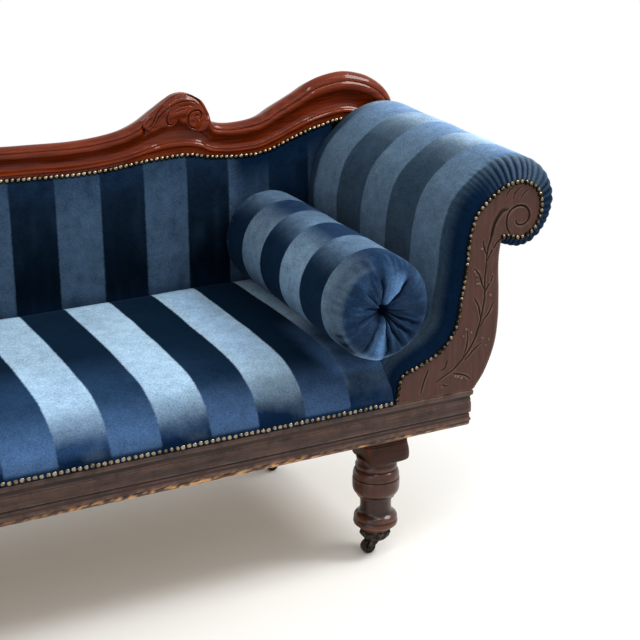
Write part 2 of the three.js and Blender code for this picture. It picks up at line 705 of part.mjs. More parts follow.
// Turned leg, bottom to top: share of the radius, share of the height
const legShares = [
  [0, 0], [0.64, 0], [0.63, 0.04], [0.72, 0.05], [0.84, 0.09], [0.97, 0.15], [0.89, 0.25],
  [0.74, 0.29], [0.65, 0.34], [0.65, 0.43], [0.9, 0.48], [1, 0.53], [1, 0.75], [0.93, 0.78],
  [0.95, 0.84], [0.85, 0.88], [0.8, 0.93], [0.78, 1], [0, 1],
];

// Square block above a leg, bottom to top: share of the width, share of the height
const blockShares = [[0.88, 0], [0.86, 0.3], [0.9, 0.55], [1, 0.8], [1, 1]];

function legBlock(x, y) {
  const top = railBottom - clearance;
  const corners = [[-1, -1], [1, -1], [1, 1], [-1, 1]];
  const rings = blockShares.map(([width, height]) => corners.map(([a, b]) => (
    [x + a * width * blockWidth / 2, y + b * width * blockWidth / 2, mix(blockBottom, top, height)]
  )));
  const left = rings.map((ring) => [ring[0], ring[3]]);
  const right = rings.map((ring) => [ring[1], ring[2]]);
  return slab(left, right);
}

function legs() {
  const reach = legHeight - clearance;
  const profile = legShares.map(([r, z]) => [r * legRadius, castorHeight + z * reach]);
  for (const { name, x, y } of legPlaces()) {
    place(`${name}_block`, legBlock(x, y), "wornWood");
    place(`${name}_leg`, turned(profile, roundSides), "wornWood").position.set(x, y, 0);
  }
}

// Castor parts around the swivel axis, with the wheel trailing toward the foot end
const wheelAxisZ = wheelRadius * Math.cos(Math.PI / wheelSides);
const plateBottom = castorHeight - clearance - plateThick;
const hubTop = plateBottom - clearance;
const cheekInner = wheelWidth / 2 + cheekGap;
const cheekOuter = cheekInner + cheekThick;
const cheekFrontShare = 0.7; // of the hub's radius, where a cheek meets the hub
const cheekBackShare = 0.9;
const wheelShoulderShare = 0.8;
const wheelTreadShare = 0.7;
const bossSteps = 6;

function castorPlate() {
  const top = castorHeight - clearance;
  const end = plateBottom - studLength;
  return turned([
    [0, end], [studRadius, end], [studRadius, plateBottom], [plateRadius, plateBottom],
    [plateRadius, top], [0, top],
  ], roundSides);
}

function acrossCylinder(radius, length, sides) {
  return new THREE.CylinderGeometry(radius, radius, length, sides).translate(-trail, 0, wheelAxisZ);
}

function castorHorn() {
  const hubBottom = hubTop - hubThick;
  const over = axleProud;
  const hub = [[0, hubBottom], [hubRadius, hubBottom], [hubRadius, hubTop], [0, hubTop]];
  let horn = solidOf(turned(hub, roundSides));
  const cheekTop = hubTop - hubThick / 2;
  const cheek = new THREE.Shape();
  cheek.moveTo(hubRadius * cheekFrontShare, cheekTop);
  cheek.lineTo(-hubRadius * cheekBackShare, cheekTop);
  cheek.lineTo(-trail - bossRadius, wheelAxisZ);
  cheek.absarc(-trail, wheelAxisZ, bossRadius, -Math.PI, 0, false);
  for (const side of [-1, 1]) {
    const plate = new THREE.ExtrudeGeometry(cheek, {
      depth: cheekThick, bevelEnabled: false, curveSegments: bossSteps,
    });
    const from = side < 0 ? -cheekOuter : cheekInner;
    horn = horn.add(solidOf(plate.rotateX(Math.PI / 2).translate(0, from + cheekThick, 0)));
  }
  const hole = acrossCylinder(axleRadius + runningGap, cheekOuter * 2 + over, boreSides);
  const bore = studRadius + runningGap;
  const boreBottom = plateBottom - studLength - runningGap;
  horn = horn.subtract(solidOf(hole));
  return horn.subtract(solidOf(turned([
    [0, boreBottom], [bore, boreBottom], [bore, hubTop + over], [0, hubTop + over],
  ], boreSides)));
}

function castorWheel() {
  const half = wheelWidth / 2;
  const bore = axleRadius + runningGap;
  const shoulder = wheelRadius * wheelShoulderShare;
  const tread = half * wheelTreadShare;
  const profile = [
    [bore, -half], [shoulder, -half], [wheelRadius, -tread], [wheelRadius, tread],
    [shoulder, half], [bore, half], [bore, -half],
  ].map(([r, y]) => new THREE.Vector2(r, y));
  const wheel = new THREE.LatheGeometry(profile, wheelSides);
  return wheel.rotateY(Math.PI / wheelSides);
}

function castors() {
  const axleLength = (cheekOuter + axleProud) * 2;
  for (const { name, x, y } of legPlaces()) {
    place(`${name}_castor_plate`, castorPlate(), "castorIron").position.set(x, y, 0);
    place(`${name}_castor_horn`, geometryOf(castorHorn()), "castorIron").position.set(x, y, 0);
    place(`${name}_castor_wheel`, castorWheel(), "castorIron").position.set(x - trail, y, wheelAxisZ);
    place(`${name}_castor_axle`, acrossCylinder(axleRadius, axleLength, boreSides), "castorIron")
      .position.set(x, y, 0);
  }
}

seatFrame();
seatWebbing();
dustCover();
seatPad();
armPad();
arm();
back();
nailRows();
bolster();
legs();
castors();

// Centre the couch on its own footprint, floor at zero
const extent = new THREE.Box3().setFromObject(couch);
const middle = extent.getCenter(new THREE.Vector3());
couch.position.set(-middle.x, -middle.y, -extent.min.z);
couch.updateMatrixWorld(true);

export default couch;
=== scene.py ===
# Looks for a fainting couch with one scrolled arm: broad-striped velvet, carved wood, round-headed nails.
# Shapes are in millimetres in the couch's own frame: X from the foot end to the head end, Y from the
# front rail's face to the back, Z from the floor. Seeds and table values are listed below.
import math

import bmesh
import bpy
import numpy as np
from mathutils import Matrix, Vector, noise
from mathutils.geometry import delaunay_2d_cdt


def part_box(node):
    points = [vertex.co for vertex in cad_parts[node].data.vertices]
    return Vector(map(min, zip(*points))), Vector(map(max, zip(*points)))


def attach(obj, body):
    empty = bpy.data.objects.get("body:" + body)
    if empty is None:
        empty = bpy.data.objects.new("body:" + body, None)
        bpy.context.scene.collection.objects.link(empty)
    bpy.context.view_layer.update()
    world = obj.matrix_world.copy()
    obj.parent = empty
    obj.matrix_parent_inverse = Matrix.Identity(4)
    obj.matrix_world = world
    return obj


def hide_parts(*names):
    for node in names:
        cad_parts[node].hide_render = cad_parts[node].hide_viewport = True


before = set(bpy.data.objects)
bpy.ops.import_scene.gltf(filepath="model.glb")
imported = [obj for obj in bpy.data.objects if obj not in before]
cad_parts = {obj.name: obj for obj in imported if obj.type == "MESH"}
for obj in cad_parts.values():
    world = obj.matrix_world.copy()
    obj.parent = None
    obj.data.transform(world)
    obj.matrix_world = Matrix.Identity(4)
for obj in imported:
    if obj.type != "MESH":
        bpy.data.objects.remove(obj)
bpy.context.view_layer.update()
print("frame loaded")

metre = 1000.0
quarterTurn = math.pi / 2

# The couch's own frame, told from the front rail: its head end is at 770 and its face at 0
couch = {"railHeadX": 770, "stripe": 97, "stripeStart": 30, "rear": 544.7}


def boxOf(node):
    low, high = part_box(node)
    return np.array(low) * metre - origin, np.array(high) * metre - origin


origin = np.zeros(3)
railLow, railHigh = boxOf("front_seat_rail")
origin = np.array([railHigh[0] - couch["railHeadX"], railLow[1], 0.0])
railTop = railHigh[2]


# Camera

camera = {
    "focalPixels": 1436.156,
    "pixels": 640,
    "sensor": 36.0,
    "pitch": 18.997,
    "yaw": 27.941,
    "eye": (-763.19, -2230.88, 1424.48),
}


def addObject(name, data):
    item = bpy.data.objects.new(name, data)
    bpy.context.scene.collection.objects.link(item)
    return item


def makeCamera():
    data = bpy.data.cameras.new("photo_camera")
    data.sensor_width = camera["sensor"]
    data.lens = camera["focalPixels"] / camera["pixels"] * camera["sensor"]
    data.clip_end = 100
    seen = addObject("photo_camera", data)
    seen.location = (np.array(camera["eye"]) + origin) / metre
    seen.rotation_euler = (math.radians(90 - camera["pitch"]), 0, math.radians(-camera["yaw"]))
    bpy.context.scene.camera = seen


makeCamera()
print("camera set")


# Mesh tools

def curveThrough(points, shares):
    # Centripetal Catmull-Rom through the points, at shares of its run
    p = np.asarray(points, float)
    p = np.vstack([2 * p[0] - p[1], p, 2 * p[-1] - p[-2]])
    at = np.clip(np.asarray(shares, float), 0, 1) * (len(p) - 3)
    i = np.minimum(at.astype(int), len(p) - 4)
    w = (at - i)[:, None]
    a, b, c, d = p[i], p[i + 1], p[i + 2], p[i + 3]
    step = [np.maximum(np.linalg.norm(q - r, axis=1), 1e-9) ** 0.5 for q, r in ((b, a), (c, b), (d, c))]
    s0, s1, s2 = [s[:, None] for s in step]
    m1 = ((b - a) / s0 - (c - a) / (s0 + s1) + (c - b) / s1) * s1
    m2 = ((c - b) / s1 - (d - b) / (s1 + s2) + (d - c) / s2) * s1
    return (b + m1 * w + (-3 * b + 3 * c - 2 * m1 - m2) * w ** 2 + (2 * b - 2 * c + m1 + m2) * w ** 3)


def evenly(points, count):
    # Points at equal steps along a line
    p = np.asarray(points, float)
    run = np.concatenate([[0], np.cumsum(np.linalg.norm(np.diff(p, axis=0), axis=1))])
    at = np.linspace(0, run[-1], count)
    return np.stack([np.interp(at, run, p[:, k]) for k in range(p.shape[1])], axis=1)


def smoothLine(points, dense, count):
    return evenly(curveThrough(points, np.linspace(0, 1, dense)), count)


def lengthOf(points):
    return np.linalg.norm(np.diff(np.asarray(points, float), axis=0), axis=1).sum()


def normalsOf(line):
    # Unit vectors square to a line in X and Z, to the left of its run
    run = np.gradient(line, axis=0)
    run /= np.linalg.norm(run, axis=1)[:, None]
    return np.stack([-run[:, 1], run[:, 0]], axis=1)


def along(table, at):
    # Value read off a table of pairs
    table = np.asarray(table, float)
    return np.interp(at, table[:, 0], table[:, 1])


def ease(low, high, value):
    # 0 below low, 1 above high and a smooth step between
    s = np.clip((np.asarray(value, float) - low) / (high - low), 0, 1)
    return s * s * (3 - 2 * s)


def fade(low, high, value):
    return 1 - ease(low, high, value)


def band(low, full, ebb, high, value):
    # 1 between full and ebb, down to 0 at low and high
    return ease(low, full, value) * fade(ebb, high, value)


def between(low, high, step):
    return np.linspace(low, high, max(2, int(round((high - low) / step)) + 1))


def grid(x, y, z):
    # Points from coordinates that fit each other
    return np.stack(np.broadcast_arrays(x, y, z), axis=-1).astype(float)


def ripple(x, y, z, size, seed=0):
    # Smooth noise from -1 to 1 at each point, features about size across
    points = grid(x, y, z)
    shift = Vector((seed * 7.31, seed * 3.17, seed * 5.53))
    values = np.array([noise.noise(Vector(p) + shift) for p in points.reshape(-1, 3) / size])
    return values.reshape(points.shape[:-1])


def pointsOf(mesh):
    points = np.empty(len(mesh.vertices) * 3)
    mesh.vertices.foreach_get("co", points)
    return points.reshape(-1, 3)


def layerOf(mesh, key):
    values = np.empty(len(mesh.vertices), np.float32)
    mesh.attributes[key].data.foreach_get("value", values)
    return values


def setLayer(mesh, key, values):
    # One number for each vertex, which the materials read by name
    layer = mesh.attributes.get(key) or mesh.attributes.new(key, "FLOAT", "POINT")
    layer.data.foreach_set("value", np.asarray(values, np.float32).ravel())


def meshObject(name, points, faces, values=None, sharp=35):
    mesh = bpy.data.meshes.new(name)
    placed = (np.asarray(points, float) + origin) / metre
    mesh.from_pydata([tuple(p) for p in placed], [], faces)
    mesh.validate()
    for key, value in (values or {}).items():
        setLayer(mesh, key, value)
    mesh.shade_smooth()
    mesh.set_sharp_from_angle(angle=math.radians(sharp))
    return addObject(name, mesh)


def outward(piece):
    work = bmesh.new()
    work.from_mesh(piece.data)
    bmesh.ops.recalc_face_normals(work, faces=work.faces)
    work.to_mesh(piece.data)
    work.free()


def closedObject(name, points, faces, values=None, sharp=40):
    # Mesh object whose faces are turned to look outward
    piece = meshObject(name, points, faces, values, sharp)
    outward(piece)
    return piece


def slab(name, outer, inner, values=None, sharp=60):
    # Closed solid between two grids of points with the same rows and columns
    rows, columns = outer.shape[:2]
    index = np.arange(rows * columns).reshape(rows, columns)
    low = index + rows * columns
    faces = []

    def strip(a, b):
        for k in range(len(a) - 1):
            faces.append((a[k], a[k + 1], b[k + 1], b[k]))

    for i in range(rows - 1):
        strip(index[i + 1], index[i])
        strip(low[i], low[i + 1])
    strip(index[0], low[0])
    strip(low[-1], index[-1])
    strip(low[:, 0], index[:, 0])
    strip(index[:, -1], low[:, -1])
    points = np.concatenate([outer.reshape(-1, 3), inner.reshape(-1, 3)])
    corner = [points[f, :] for f in np.array(faces)[:, :3].T]
    if np.einsum("ij,ij->i", corner[0], np.cross(corner[1], corner[2])).sum() < 0:
        faces = [f[::-1] for f in faces]
    both = {key: np.tile(np.ravel(v), 2) for key, v in (values or {}).items()}
    return meshObject(name, points, faces, both, sharp)


def tubeFaces(rows, sides, start=0, poles=(0, 1)):
    # Quads between closed rings, then fans at both ends to two points that follow the rings
    first, last = (start + rows * sides + pole for pole in poles)
    final = start + (rows - 1) * sides
    pairs = [(j, (j + 1) % sides) for j in range(sides)]
    faces = [(low + j, low + k, low + sides + k, low + sides + j)
             for low in range(start, final, sides) for j, k in pairs]
    for j, k in pairs:
        faces += [(first, start + k, start + j), (last, final + j, final + k)]
    return faces


def circle(sides):
    return np.linspace(0, 2 * math.pi, sides, endpoint=False)


def turned(name, profile, sides, centre, shape=None):
    # Turned piece around Z; the profile starts and ends on the axis. shape may move the points
    profile = np.asarray(profile, float)
    radius, height = profile[1:-1, :1], profile[1:-1, 1:]
    rings = grid(radius * np.cos(circle(sides)), radius * np.sin(circle(sides)), height)
    if shape is not None:
        rings = shape(rings)
    points = np.vstack([rings.reshape(-1, 3), [[0, 0, profile[0, 1]], [0, 0, profile[-1, 1]]]])
    return closedObject(name, points + np.asarray(centre, float), tubeFaces(len(rings), sides))


def finishPiece(piece, nodes, material, body="frame"):
    # Material, body and the CAD nodes it stands for, which are hidden
    piece.data.materials.append(materials[material])
    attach(piece, body)
    if nodes:
        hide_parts(*nodes)


def settle(piece, isHeld, force, most, frames=10):
    # The cover swells a little under air pressure; held points stay, and none moves further than most
    mesh = piece.data
    before = pointsOf(mesh)
    group = piece.vertex_groups.new(name="held")
    group.add([int(k) for k in np.nonzero(isHeld(*(before * metre - origin).T))[0]], 1.0, "REPLACE")
    cloth = piece.modifiers.new("Cloth", "CLOTH")
    cloth.settings.quality = 5
    cloth.settings.mass = 0.3
    cloth.settings.use_pressure = True
    cloth.settings.uniform_pressure_force = force
    cloth.settings.vertex_group_mass = "held"
    cloth.settings.effector_weights.gravity = 0
    cloth.point_cache.frame_end = frames
    for step in range(1, frames + 1):
        bpy.context.scene.frame_set(step)
    solved = piece.evaluated_get(bpy.context.evaluated_depsgraph_get())
    move = pointsOf(solved.data) - before
    piece.modifiers.remove(cloth)
    piece.vertex_groups.remove(group)
    bpy.context.scene.frame_set(1)
    limit = most / metre
    far = np.linalg.norm(move, axis=1, keepdims=True)
    after = before + move * limit / np.sqrt(limit ** 2 + far ** 2)
    mesh.vertices.foreach_set("co", after.ravel())
    mesh.update()
    print(f"settled {piece.name}: at most {far.max() * metre:.2f} mm before the limit")


# Materials

def shade(red, green, blue):
    # Colour as it looks on screen, 0 to 255, to the linear values that sockets take
    def linear(value):
        share = value / 255
        return share / 12.92 if share <= 0.04045 else ((share + 0.055) / 1.055) ** 2.4
    return (linear(red), linear(green), linear(blue), 1.0)


def setInput(tree, socket, value):
    # A socket is linked, anything else becomes the input's own value
    if isinstance(value, bpy.types.NodeSocket):
        tree.links.new(value, socket)
    else:
        socket.default_value = value


def put(tree, kind, values=None, **settings):
    node = tree.nodes.new(kind)
    for key, value in settings.items():
        setattr(node, key, value)
    for key, value in (values or {}).items():
        setInput(tree, node.inputs[key], value)
    return node


def maths(tree, operation, first, second=0.0, third=0.0, clamp=False):
    node = put(tree, "ShaderNodeMath", {0: first, 1: second, 2: third}, operation=operation, use_clamp=clamp)
    return node.outputs[0]


def times(tree, first, second):
    return maths(tree, "MULTIPLY", first, second)


def plus(tree, first, second):
    return maths(tree, "ADD", first, second)


def swing(tree, value, amount):
    # A noise around a half turned into a change around nought
    return times(tree, maths(tree, "SUBTRACT", value, 0.5), amount)


def blendColour(tree, share, first, second, kind="MIX"):
    node = put(tree, "ShaderNodeMix", {0: share, 6: first, 7: second}, data_type="RGBA", blend_type=kind,
               clamp_factor=True)
    return node.outputs[2]


def spread(tree, value, low, high, toLow=0.0, toHigh=1.0):
    node = put(tree, "ShaderNodeMapRange", {
        "Value": value, "From Min": low, "From Max": high, "To Min": toLow, "To Max": toHigh},
        interpolation_type="SMOOTHSTEP")
    return node.outputs[0]


def attribute(tree, name):
    return put(tree, "ShaderNodeAttribute", attribute_name=name).outputs["Fac"]


def noiseOf(tree, scale, detail=3.0, rough=0.55, grain=None):
    # Noise over the piece; with grain given it is drawn out along the wood
    place = put(tree, "ShaderNodeTexCoord").outputs["Object"]
    if grain is not None:
        # the grain runs along X, up where "upright" is 1 and along Y where "sideways" is 1
        parts = put(tree, "ShaderNodeSeparateXYZ", {0: place}).outputs
        for key, order in (("upright", (2, 1, 0)), ("sideways", (1, 0, 2))):
            swapped = put(tree, "ShaderNodeCombineXYZ", {k: parts[order[k]] for k in range(3)}).outputs[0]
            both = {0: attribute(tree, key), 4: place, 5: swapped}
            place = put(tree, "ShaderNodeMix", both, data_type="VECTOR").outputs[1]
        place = put(tree, "ShaderNodeMapping", {"Vector": place, "Scale": grain}).outputs[0]
    return put(tree, "ShaderNodeTexNoise", {
        "Vector": place, "Scale": scale, "Detail": detail, "Roughness": rough}).outputs["Fac"]


def newGroup(name, colours, values, results):
    # Group with colour inputs and number inputs; its results are a colour and numbers
    tree = bpy.data.node_groups.new(name, "ShaderNodeTree")
    for kind, given in (("NodeSocketColor", colours), ("NodeSocketFloat", values)):
        for key, start in given.items():
            socket = tree.interface.new_socket(name=key, in_out="INPUT", socket_type=kind)
            socket.default_value = start
    for key in results:
        kind = "NodeSocketColor" if key == "Color" else "NodeSocketFloat"
        tree.interface.new_socket(name=key, in_out="OUTPUT", socket_type=kind)
    return tree, tree.nodes.new("NodeGroupInput").outputs, tree.nodes.new("NodeGroupOutput").inputs


white = (1.0, 1.0, 1.0, 1.0)
black = (0.0, 0.0, 0.0, 1.0)


def makeVelvetGroup():
    # Broad stripes whose tones change places where the pile turns over, with painted sheen added and painted
    # shade mixed in
    tree, given, result = newGroup("velvetStripesAndPaintedLight", {
        "Light": white, "Dark": black, "Light Turned": black, "Dark Turned": white, "Painted Sheen": black,
        "Painted Shade": black}, {"Mottle": 0.3, "Crush": 0.3}, ("Color", "Height"))
    wander = noiseOf(tree, 190.0, rough=0.75)
    place = plus(tree, attribute(tree, "stripe"), maths(tree, "MULTIPLY_ADD", wander, 0.05, 0.475))
    light = spread(tree, maths(tree, "PINGPONG", place, 1.0), 0.475, 0.525, 1.0, 0.0)
    # Where the pile turns the stripes take other tones: the turn is real, the change of tone is a painted
    # sheen
    turn = attribute(tree, "turned")
    turn = plus(tree, turn, times(tree, swing(tree, noiseOf(tree, 9.0), 0.5), turn))
    first = blendColour(tree, light, given["Dark"], given["Light"])
    second = blendColour(tree, light, given["Dark Turned"], given["Light Turned"])
    base = blendColour(tree, turn, first, second)
    # Painted sheen added over the colour, then painted shade mixed in
    paintedSheen = blendColour(tree, attribute(tree, "paintedSheen"), black, given["Painted Sheen"])
    base = blendColour(tree, 1.0, base, paintedSheen, "ADD")
    base = blendColour(tree, attribute(tree, "deep"), base, given["Painted Shade"])
    pile = noiseOf(tree, 330.0, 2.0, 0.75)
    crush = noiseOf(tree, 40.0, 4.0, 0.7)
    tone = plus(tree, swing(tree, pile, given["Mottle"]), swing(tree, crush, given["Crush"]))
    tone = plus(tree, tone, swing(tree, noiseOf(tree, 6.0), 0.5))
    gain = maths(tree, "MAXIMUM", plus(tree, tone, 1.0), 0.25)
    level = put(tree, "ShaderNodeCombineColor", {0: gain, 1: gain, 2: gain}).outputs[0]
    tree.links.new(blendColour(tree, 1.0, base, level, "MULTIPLY"), result["Color"])
    tree.links.new(plus(tree, times(tree, pile, 0.6), times(tree, crush, 0.4)), result["Height"])
    return tree


def makeGrainGroup():
    # Wood with long streaks, darker in recesses and rubbed to a paler tone on edges
    tree, given, result = newGroup("oldWood", {
        "Wood": white, "Streak": black, "Recess": black, "Rubbed": white, "Bare": white},
        {"Grain": 1.0, "Rub": 0.6}, ("Color", "Roughness", "Height"))
    streaks = noiseOf(tree, 26.0, 5.0, 0.6, (0.35, 5.0, 5.0))
    pores = noiseOf(tree, 130.0, 3.0, 0.7, (0.12, 3.0, 3.0))
    scuff = noiseOf(tree, 38.0, 4.0, 0.7)
    edge = times(tree, attribute(tree, "edge"), spread(tree, scuff, 0.32, 0.62))
    recess = attribute(tree, "recess")
    bare = attribute(tree, "bare")
    base = given["Wood"]
    for share, tone in (
            (times(tree, spread(tree, streaks, 0.36, 0.68), given["Grain"]), "Streak"),
            (times(tree, spread(tree, pores, 0.55, 0.75), 0.45), "Recess"),
            (spread(tree, noiseOf(tree, 4.0), 0.35, 0.75, 0.0, 0.35), "Streak"),
            (times(tree, edge, given["Rub"]), "Rubbed"),
            (times(tree, recess, 0.85), "Recess"),
            (bare, "Bare")):
        base = blendColour(tree, share, base, given[tone])
    tree.links.new(base, result["Color"])
    rough = plus(tree, times(tree, scuff, 0.25), times(tree, recess, 0.3))
    tree.links.new(plus(tree, rough, times(tree, bare, 0.3)), result["Roughness"])
    tree.links.new(plus(tree, times(tree, pores, -0.5), times(tree, scuff, 0.5)), result["Height"])
    return tree


def makeTarnishAndLightGroup():
    # Metal with brown tarnish spots, plus a painted highlight and painted shade on the nails from their tone
    tree, given, result = newGroup("tarnish_and_painted_light", {"Bright": white, "Dull": black}, {"Spread": 0.5},
                                   ("Color", "Roughness", "Height"))
    spots = noiseOf(tree, 90.0, 4.0, 0.7)
    lack = maths(tree, "SUBTRACT", given["Spread"], attribute(tree, "tone"))
    share = plus(tree, spread(tree, spots, 0.35, 0.7), lack)
    share = maths(tree, "MULTIPLY", share, 1.0, clamp=True)
    tree.links.new(blendColour(tree, share, given["Bright"], given["Dull"]), result["Color"])
    tree.links.new(times(tree, share, 0.3), result["Roughness"])
    tree.links.new(spots, result["Height"])
    return tree


velvetGroup = makeVelvetGroup()
grainGroup = makeGrainGroup()
tarnishAndLightGroup = makeTarnishAndLightGroup()


def surface(name, group, given, fixed, bump, rough=None):
    # One Principled BSDF fed by a group; fixed values stand on the shader's own sockets
    material = bpy.data.materials.new(name)
    material.use_nodes = True
    tree = material.node_tree
    tree.nodes.clear()
    shader = put(tree, "ShaderNodeBsdfPrincipled", fixed)
    made = put(tree, "ShaderNodeGroup", node_tree=group)
    for key, value in given.items():
        made.inputs[key].default_value = value
    tree.links.new(made.outputs["Color"], shader.inputs["Base Color"])
    if rough is not None:
        tree.links.new(plus(tree, made.outputs["Roughness"], rough), shader.inputs["Roughness"])
    lift = put(tree, "ShaderNodeBump", {
        "Height": made.outputs["Height"], "Strength": bump[0], "Distance": bump[1]})
    tree.links.new(lift.outputs[0], shader.inputs["Normal"])
    put(tree, "ShaderNodeOutputMaterial", {0: shader.outputs[0]})
    return material


pileShader = {
    "Roughness": 0.9, "Specular IOR Level": 0.03, "Sheen Weight": 0.05, "Sheen Roughness": 0.4,
    "Sheen Tint": shade(150, 185, 235),
}


# Stripe tones, their tones where the pile turns (a painted sheen), then the colours of the painted sheen and
# the painted shade
def velvet(name, light, dark, lightTurned, darkTurned, paintedSheen=(45, 68, 100), deep=(5, 24, 46), mottle=1.5,
           crush=0.8):
    return surface(name, velvetGroup, {
        "Light": shade(*light), "Dark": shade(*dark), "Light Turned": shade(*lightTurned),
        "Dark Turned": shade(*darkTurned), "Painted Sheen": shade(*paintedSheen), "Painted Shade": shade(*deep), "Mottle": mottle,
        "Crush": crush}, pileShader, (0.35, 0.0012))


def wood(name, tones, grain, rub, specular, bump, rough, coat=(0.0, 0.03)):
    # tones: wood, streak, recess, rubbed, bare; coat: weight and roughness
    given = {key: shade(*tone) for key, tone in zip(("Wood", "Streak", "Recess", "Rubbed", "Bare"), tones)}
    return surface(name, grainGroup, {**given, "Grain": grain, "Rub": rub}, {
        "Specular IOR Level": specular, "Coat Weight": coat[0], "Coat Roughness": coat[1]}, bump, rough)


def metal(name, bright, dull, spots, metallic, bump, rough):
    return surface(name, tarnishAndLightGroup, {"Bright": shade(*bright), "Dull": shade(*dull), "Spread": spots},
                   {"Metallic": metallic}, bump, rough)


# The velvets' turned tones and their sheen and shade colours are painted sheen and painted shade
materials = {
    "seatVelvet": velvet("seat_velvet", (158, 188, 211), (1, 21, 38), (6, 25, 50), (58, 83, 117),
                         paintedSheen=(47, 74, 110)),
    "backVelvet": velvet("back_velvet", (54, 74, 95), (1, 11, 22), (30, 52, 80), (20, 40, 66),
                         paintedSheen=(30, 46, 66), mottle=1.6, crush=1.3),
    "armVelvet": velvet("arm_velvet", (86, 109, 130), (46, 64, 80), (79, 108, 144), (128, 151, 170),
                        paintedSheen=(112, 132, 154), mottle=1.6, crush=1.0),
    "bolsterVelvet": velvet("bolster_velvet", (116, 143, 166), (12, 33, 54), (26, 48, 76), (88, 113, 138),
                            paintedSheen=(102, 142, 190), deep=(3, 14, 32), mottle=1.6, crush=1.2),
    "coverVelvet": velvet("cover_velvet", *[(62, 84, 108), (12, 28, 46)] * 2, crush=1.1),
    "hessian": velvet("hessian", *[(150, 128, 92)] * 4, paintedSheen=(0, 0, 0), mottle=0.5, crush=0.3),
    "wornWood": wood("worn_wood", ((66, 41, 34), (28, 18, 15), (8, 5, 3), (140, 110, 94), (224, 166, 108)),
                     0.95, 0.62, 0.25, (0.3, 0.0008), 0.26, (0.12, 0.18)),
    "carvedWood": wood("carved_wood", ((80, 50, 42), (56, 38, 33), (14, 8, 6), (150, 126, 112),
                                       (222, 166, 104)), 0.6, 0.5, 0.2, (0.25, 0.0008), 0.42),
    "turnedWood": wood("turned_wood", ((56, 26, 15), (32, 15, 10), (8, 4, 2), (126, 72, 46), (136, 70, 36)),
                       0.85, 0.66, 0.16, (0.15, 0.0006), 0.2, (0.4, 0.12)),
    "blockWood": wood("block_wood", ((54, 25, 15), (32, 16, 10), (8, 4, 2), (112, 60, 36), (128, 64, 30)),
                      0.8, 0.5, 0.12, (0.15, 0.0006), 0.36, (0.08, 0.3)),
    "polishedWood": wood("polished_wood", ((116, 40, 4), (70, 18, 1), (24, 3, 0), (152, 70, 30),
                                           (214, 160, 100)), 0.8, 0.22, 0.06, (0.08, 0.0006), 0.18,
                         (0.3, 0.05)),
    "frameWood": wood("frame_wood", ((172, 140, 104), (134, 102, 70), (70, 50, 34), (196, 168, 132),
                                     (214, 180, 130)), 0.8, 0.3, 0.3, (0.3, 0.0008), 0.55),
    "brass": metal("antique_brass", (156, 142, 116), (24, 19, 13), 0.12, 1.0, (0.15, 0.0004), 0.2),
    "castorIron": metal("castor_iron", (96, 84, 72), (40, 33, 28), 0.5, 0.7, (0.5, 0.001), 0.42),
}
print("materials made")


def markWear(piece, reach, gain, grain=None):
    # Vertex values for edges that get rubbed and recesses that stay dark, from how the surface bends
    mesh = piece.data
    count = len(mesh.vertices)
    if grain:
        setLayer(mesh, grain, np.ones(count))
    points, normals = pointsOf(mesh) * metre, np.empty(count * 3)
    mesh.vertex_normals.foreach_get("vector", normals)
    ends = np.empty(len(mesh.edges) * 2, int)
    mesh.edges.foreach_get("vertices", ends)
    first, second = ends.reshape(-1, 2).T
    span = np.linalg.norm(points[first] - points[second], axis=1) + 1e-6
    pull = np.zeros((count, 3))
    for a, b in ((first, second), (second, first)):
        for k in range(3):
            pull[:, k] += np.bincount(a, (points[b, k] - points[a, k]) / span, count)
    number = np.maximum(np.bincount(ends, minlength=count), 1)
    bend = -(pull * normals.reshape(-1, 3)).sum(axis=1) / number
    for _ in range(reach):
        near = np.bincount(first, bend[second], count) + np.bincount(second, bend[first], count)
        bend = 0.5 * bend + 0.5 * near / number
    for key, value in (("edge", bend), ("recess", -bend)):
        setLayer(mesh, key, np.clip(value * gain * 4, 0, 1))


def distanceTo(places, line):
    # Least distance from places (X, Z) to a line of points, and how far along that line it is
    line = np.asarray(line, float)
    best = np.full(len(places), 1e9)
    share = np.zeros(len(places))
    total = max(lengthOf(line), 1e-6)
    run = 0.0
    for a, b in zip(line[:-1], line[1:]):
        side = b - a
        size = np.linalg.norm(side) + 1e-9
        at = np.clip(((places - a) @ side) / size ** 2, 0, 1)
        away = np.linalg.norm(places - a - at[:, None] * side, axis=1)
        closer = away < best
        best[closer] = away[closer]
        share[closer] = (run + at[closer] * size) / total
        run += size
    return best, share


def carve(places, strokes, lipShare=0.14):
    # Height change at places for carved strokes: (points, width, depth); depth below zero cuts in
    height = np.zeros(len(places))
    for points, width, depth in strokes:
        line = curveThrough(points, np.linspace(0, 1, 8 * len(points))) if len(points) > 2 else points
        line = np.asarray(line, float)
        low, high = line.min(axis=0) - 5 * width, line.max(axis=0) + 5 * width
        near = ((places >= low) & (places <= high)).all(axis=1)
        if not near.any():
            continue
        away, share = distanceTo(places[near], line)
        taper = 0.45 + 0.55 * np.sin(np.pi * np.clip(share, 0, 1)).clip(0, 1) ** 0.6
        height[near] += depth * taper * np.exp(-(away / (width * (0.6 + 0.4 * taper))) ** 2)
        if depth < 0:
            lip = np.exp(-((away - 2.0 * width) / width) ** 2)
            height[near] -= lipShare * depth * taper * lip
    return height


# Seat

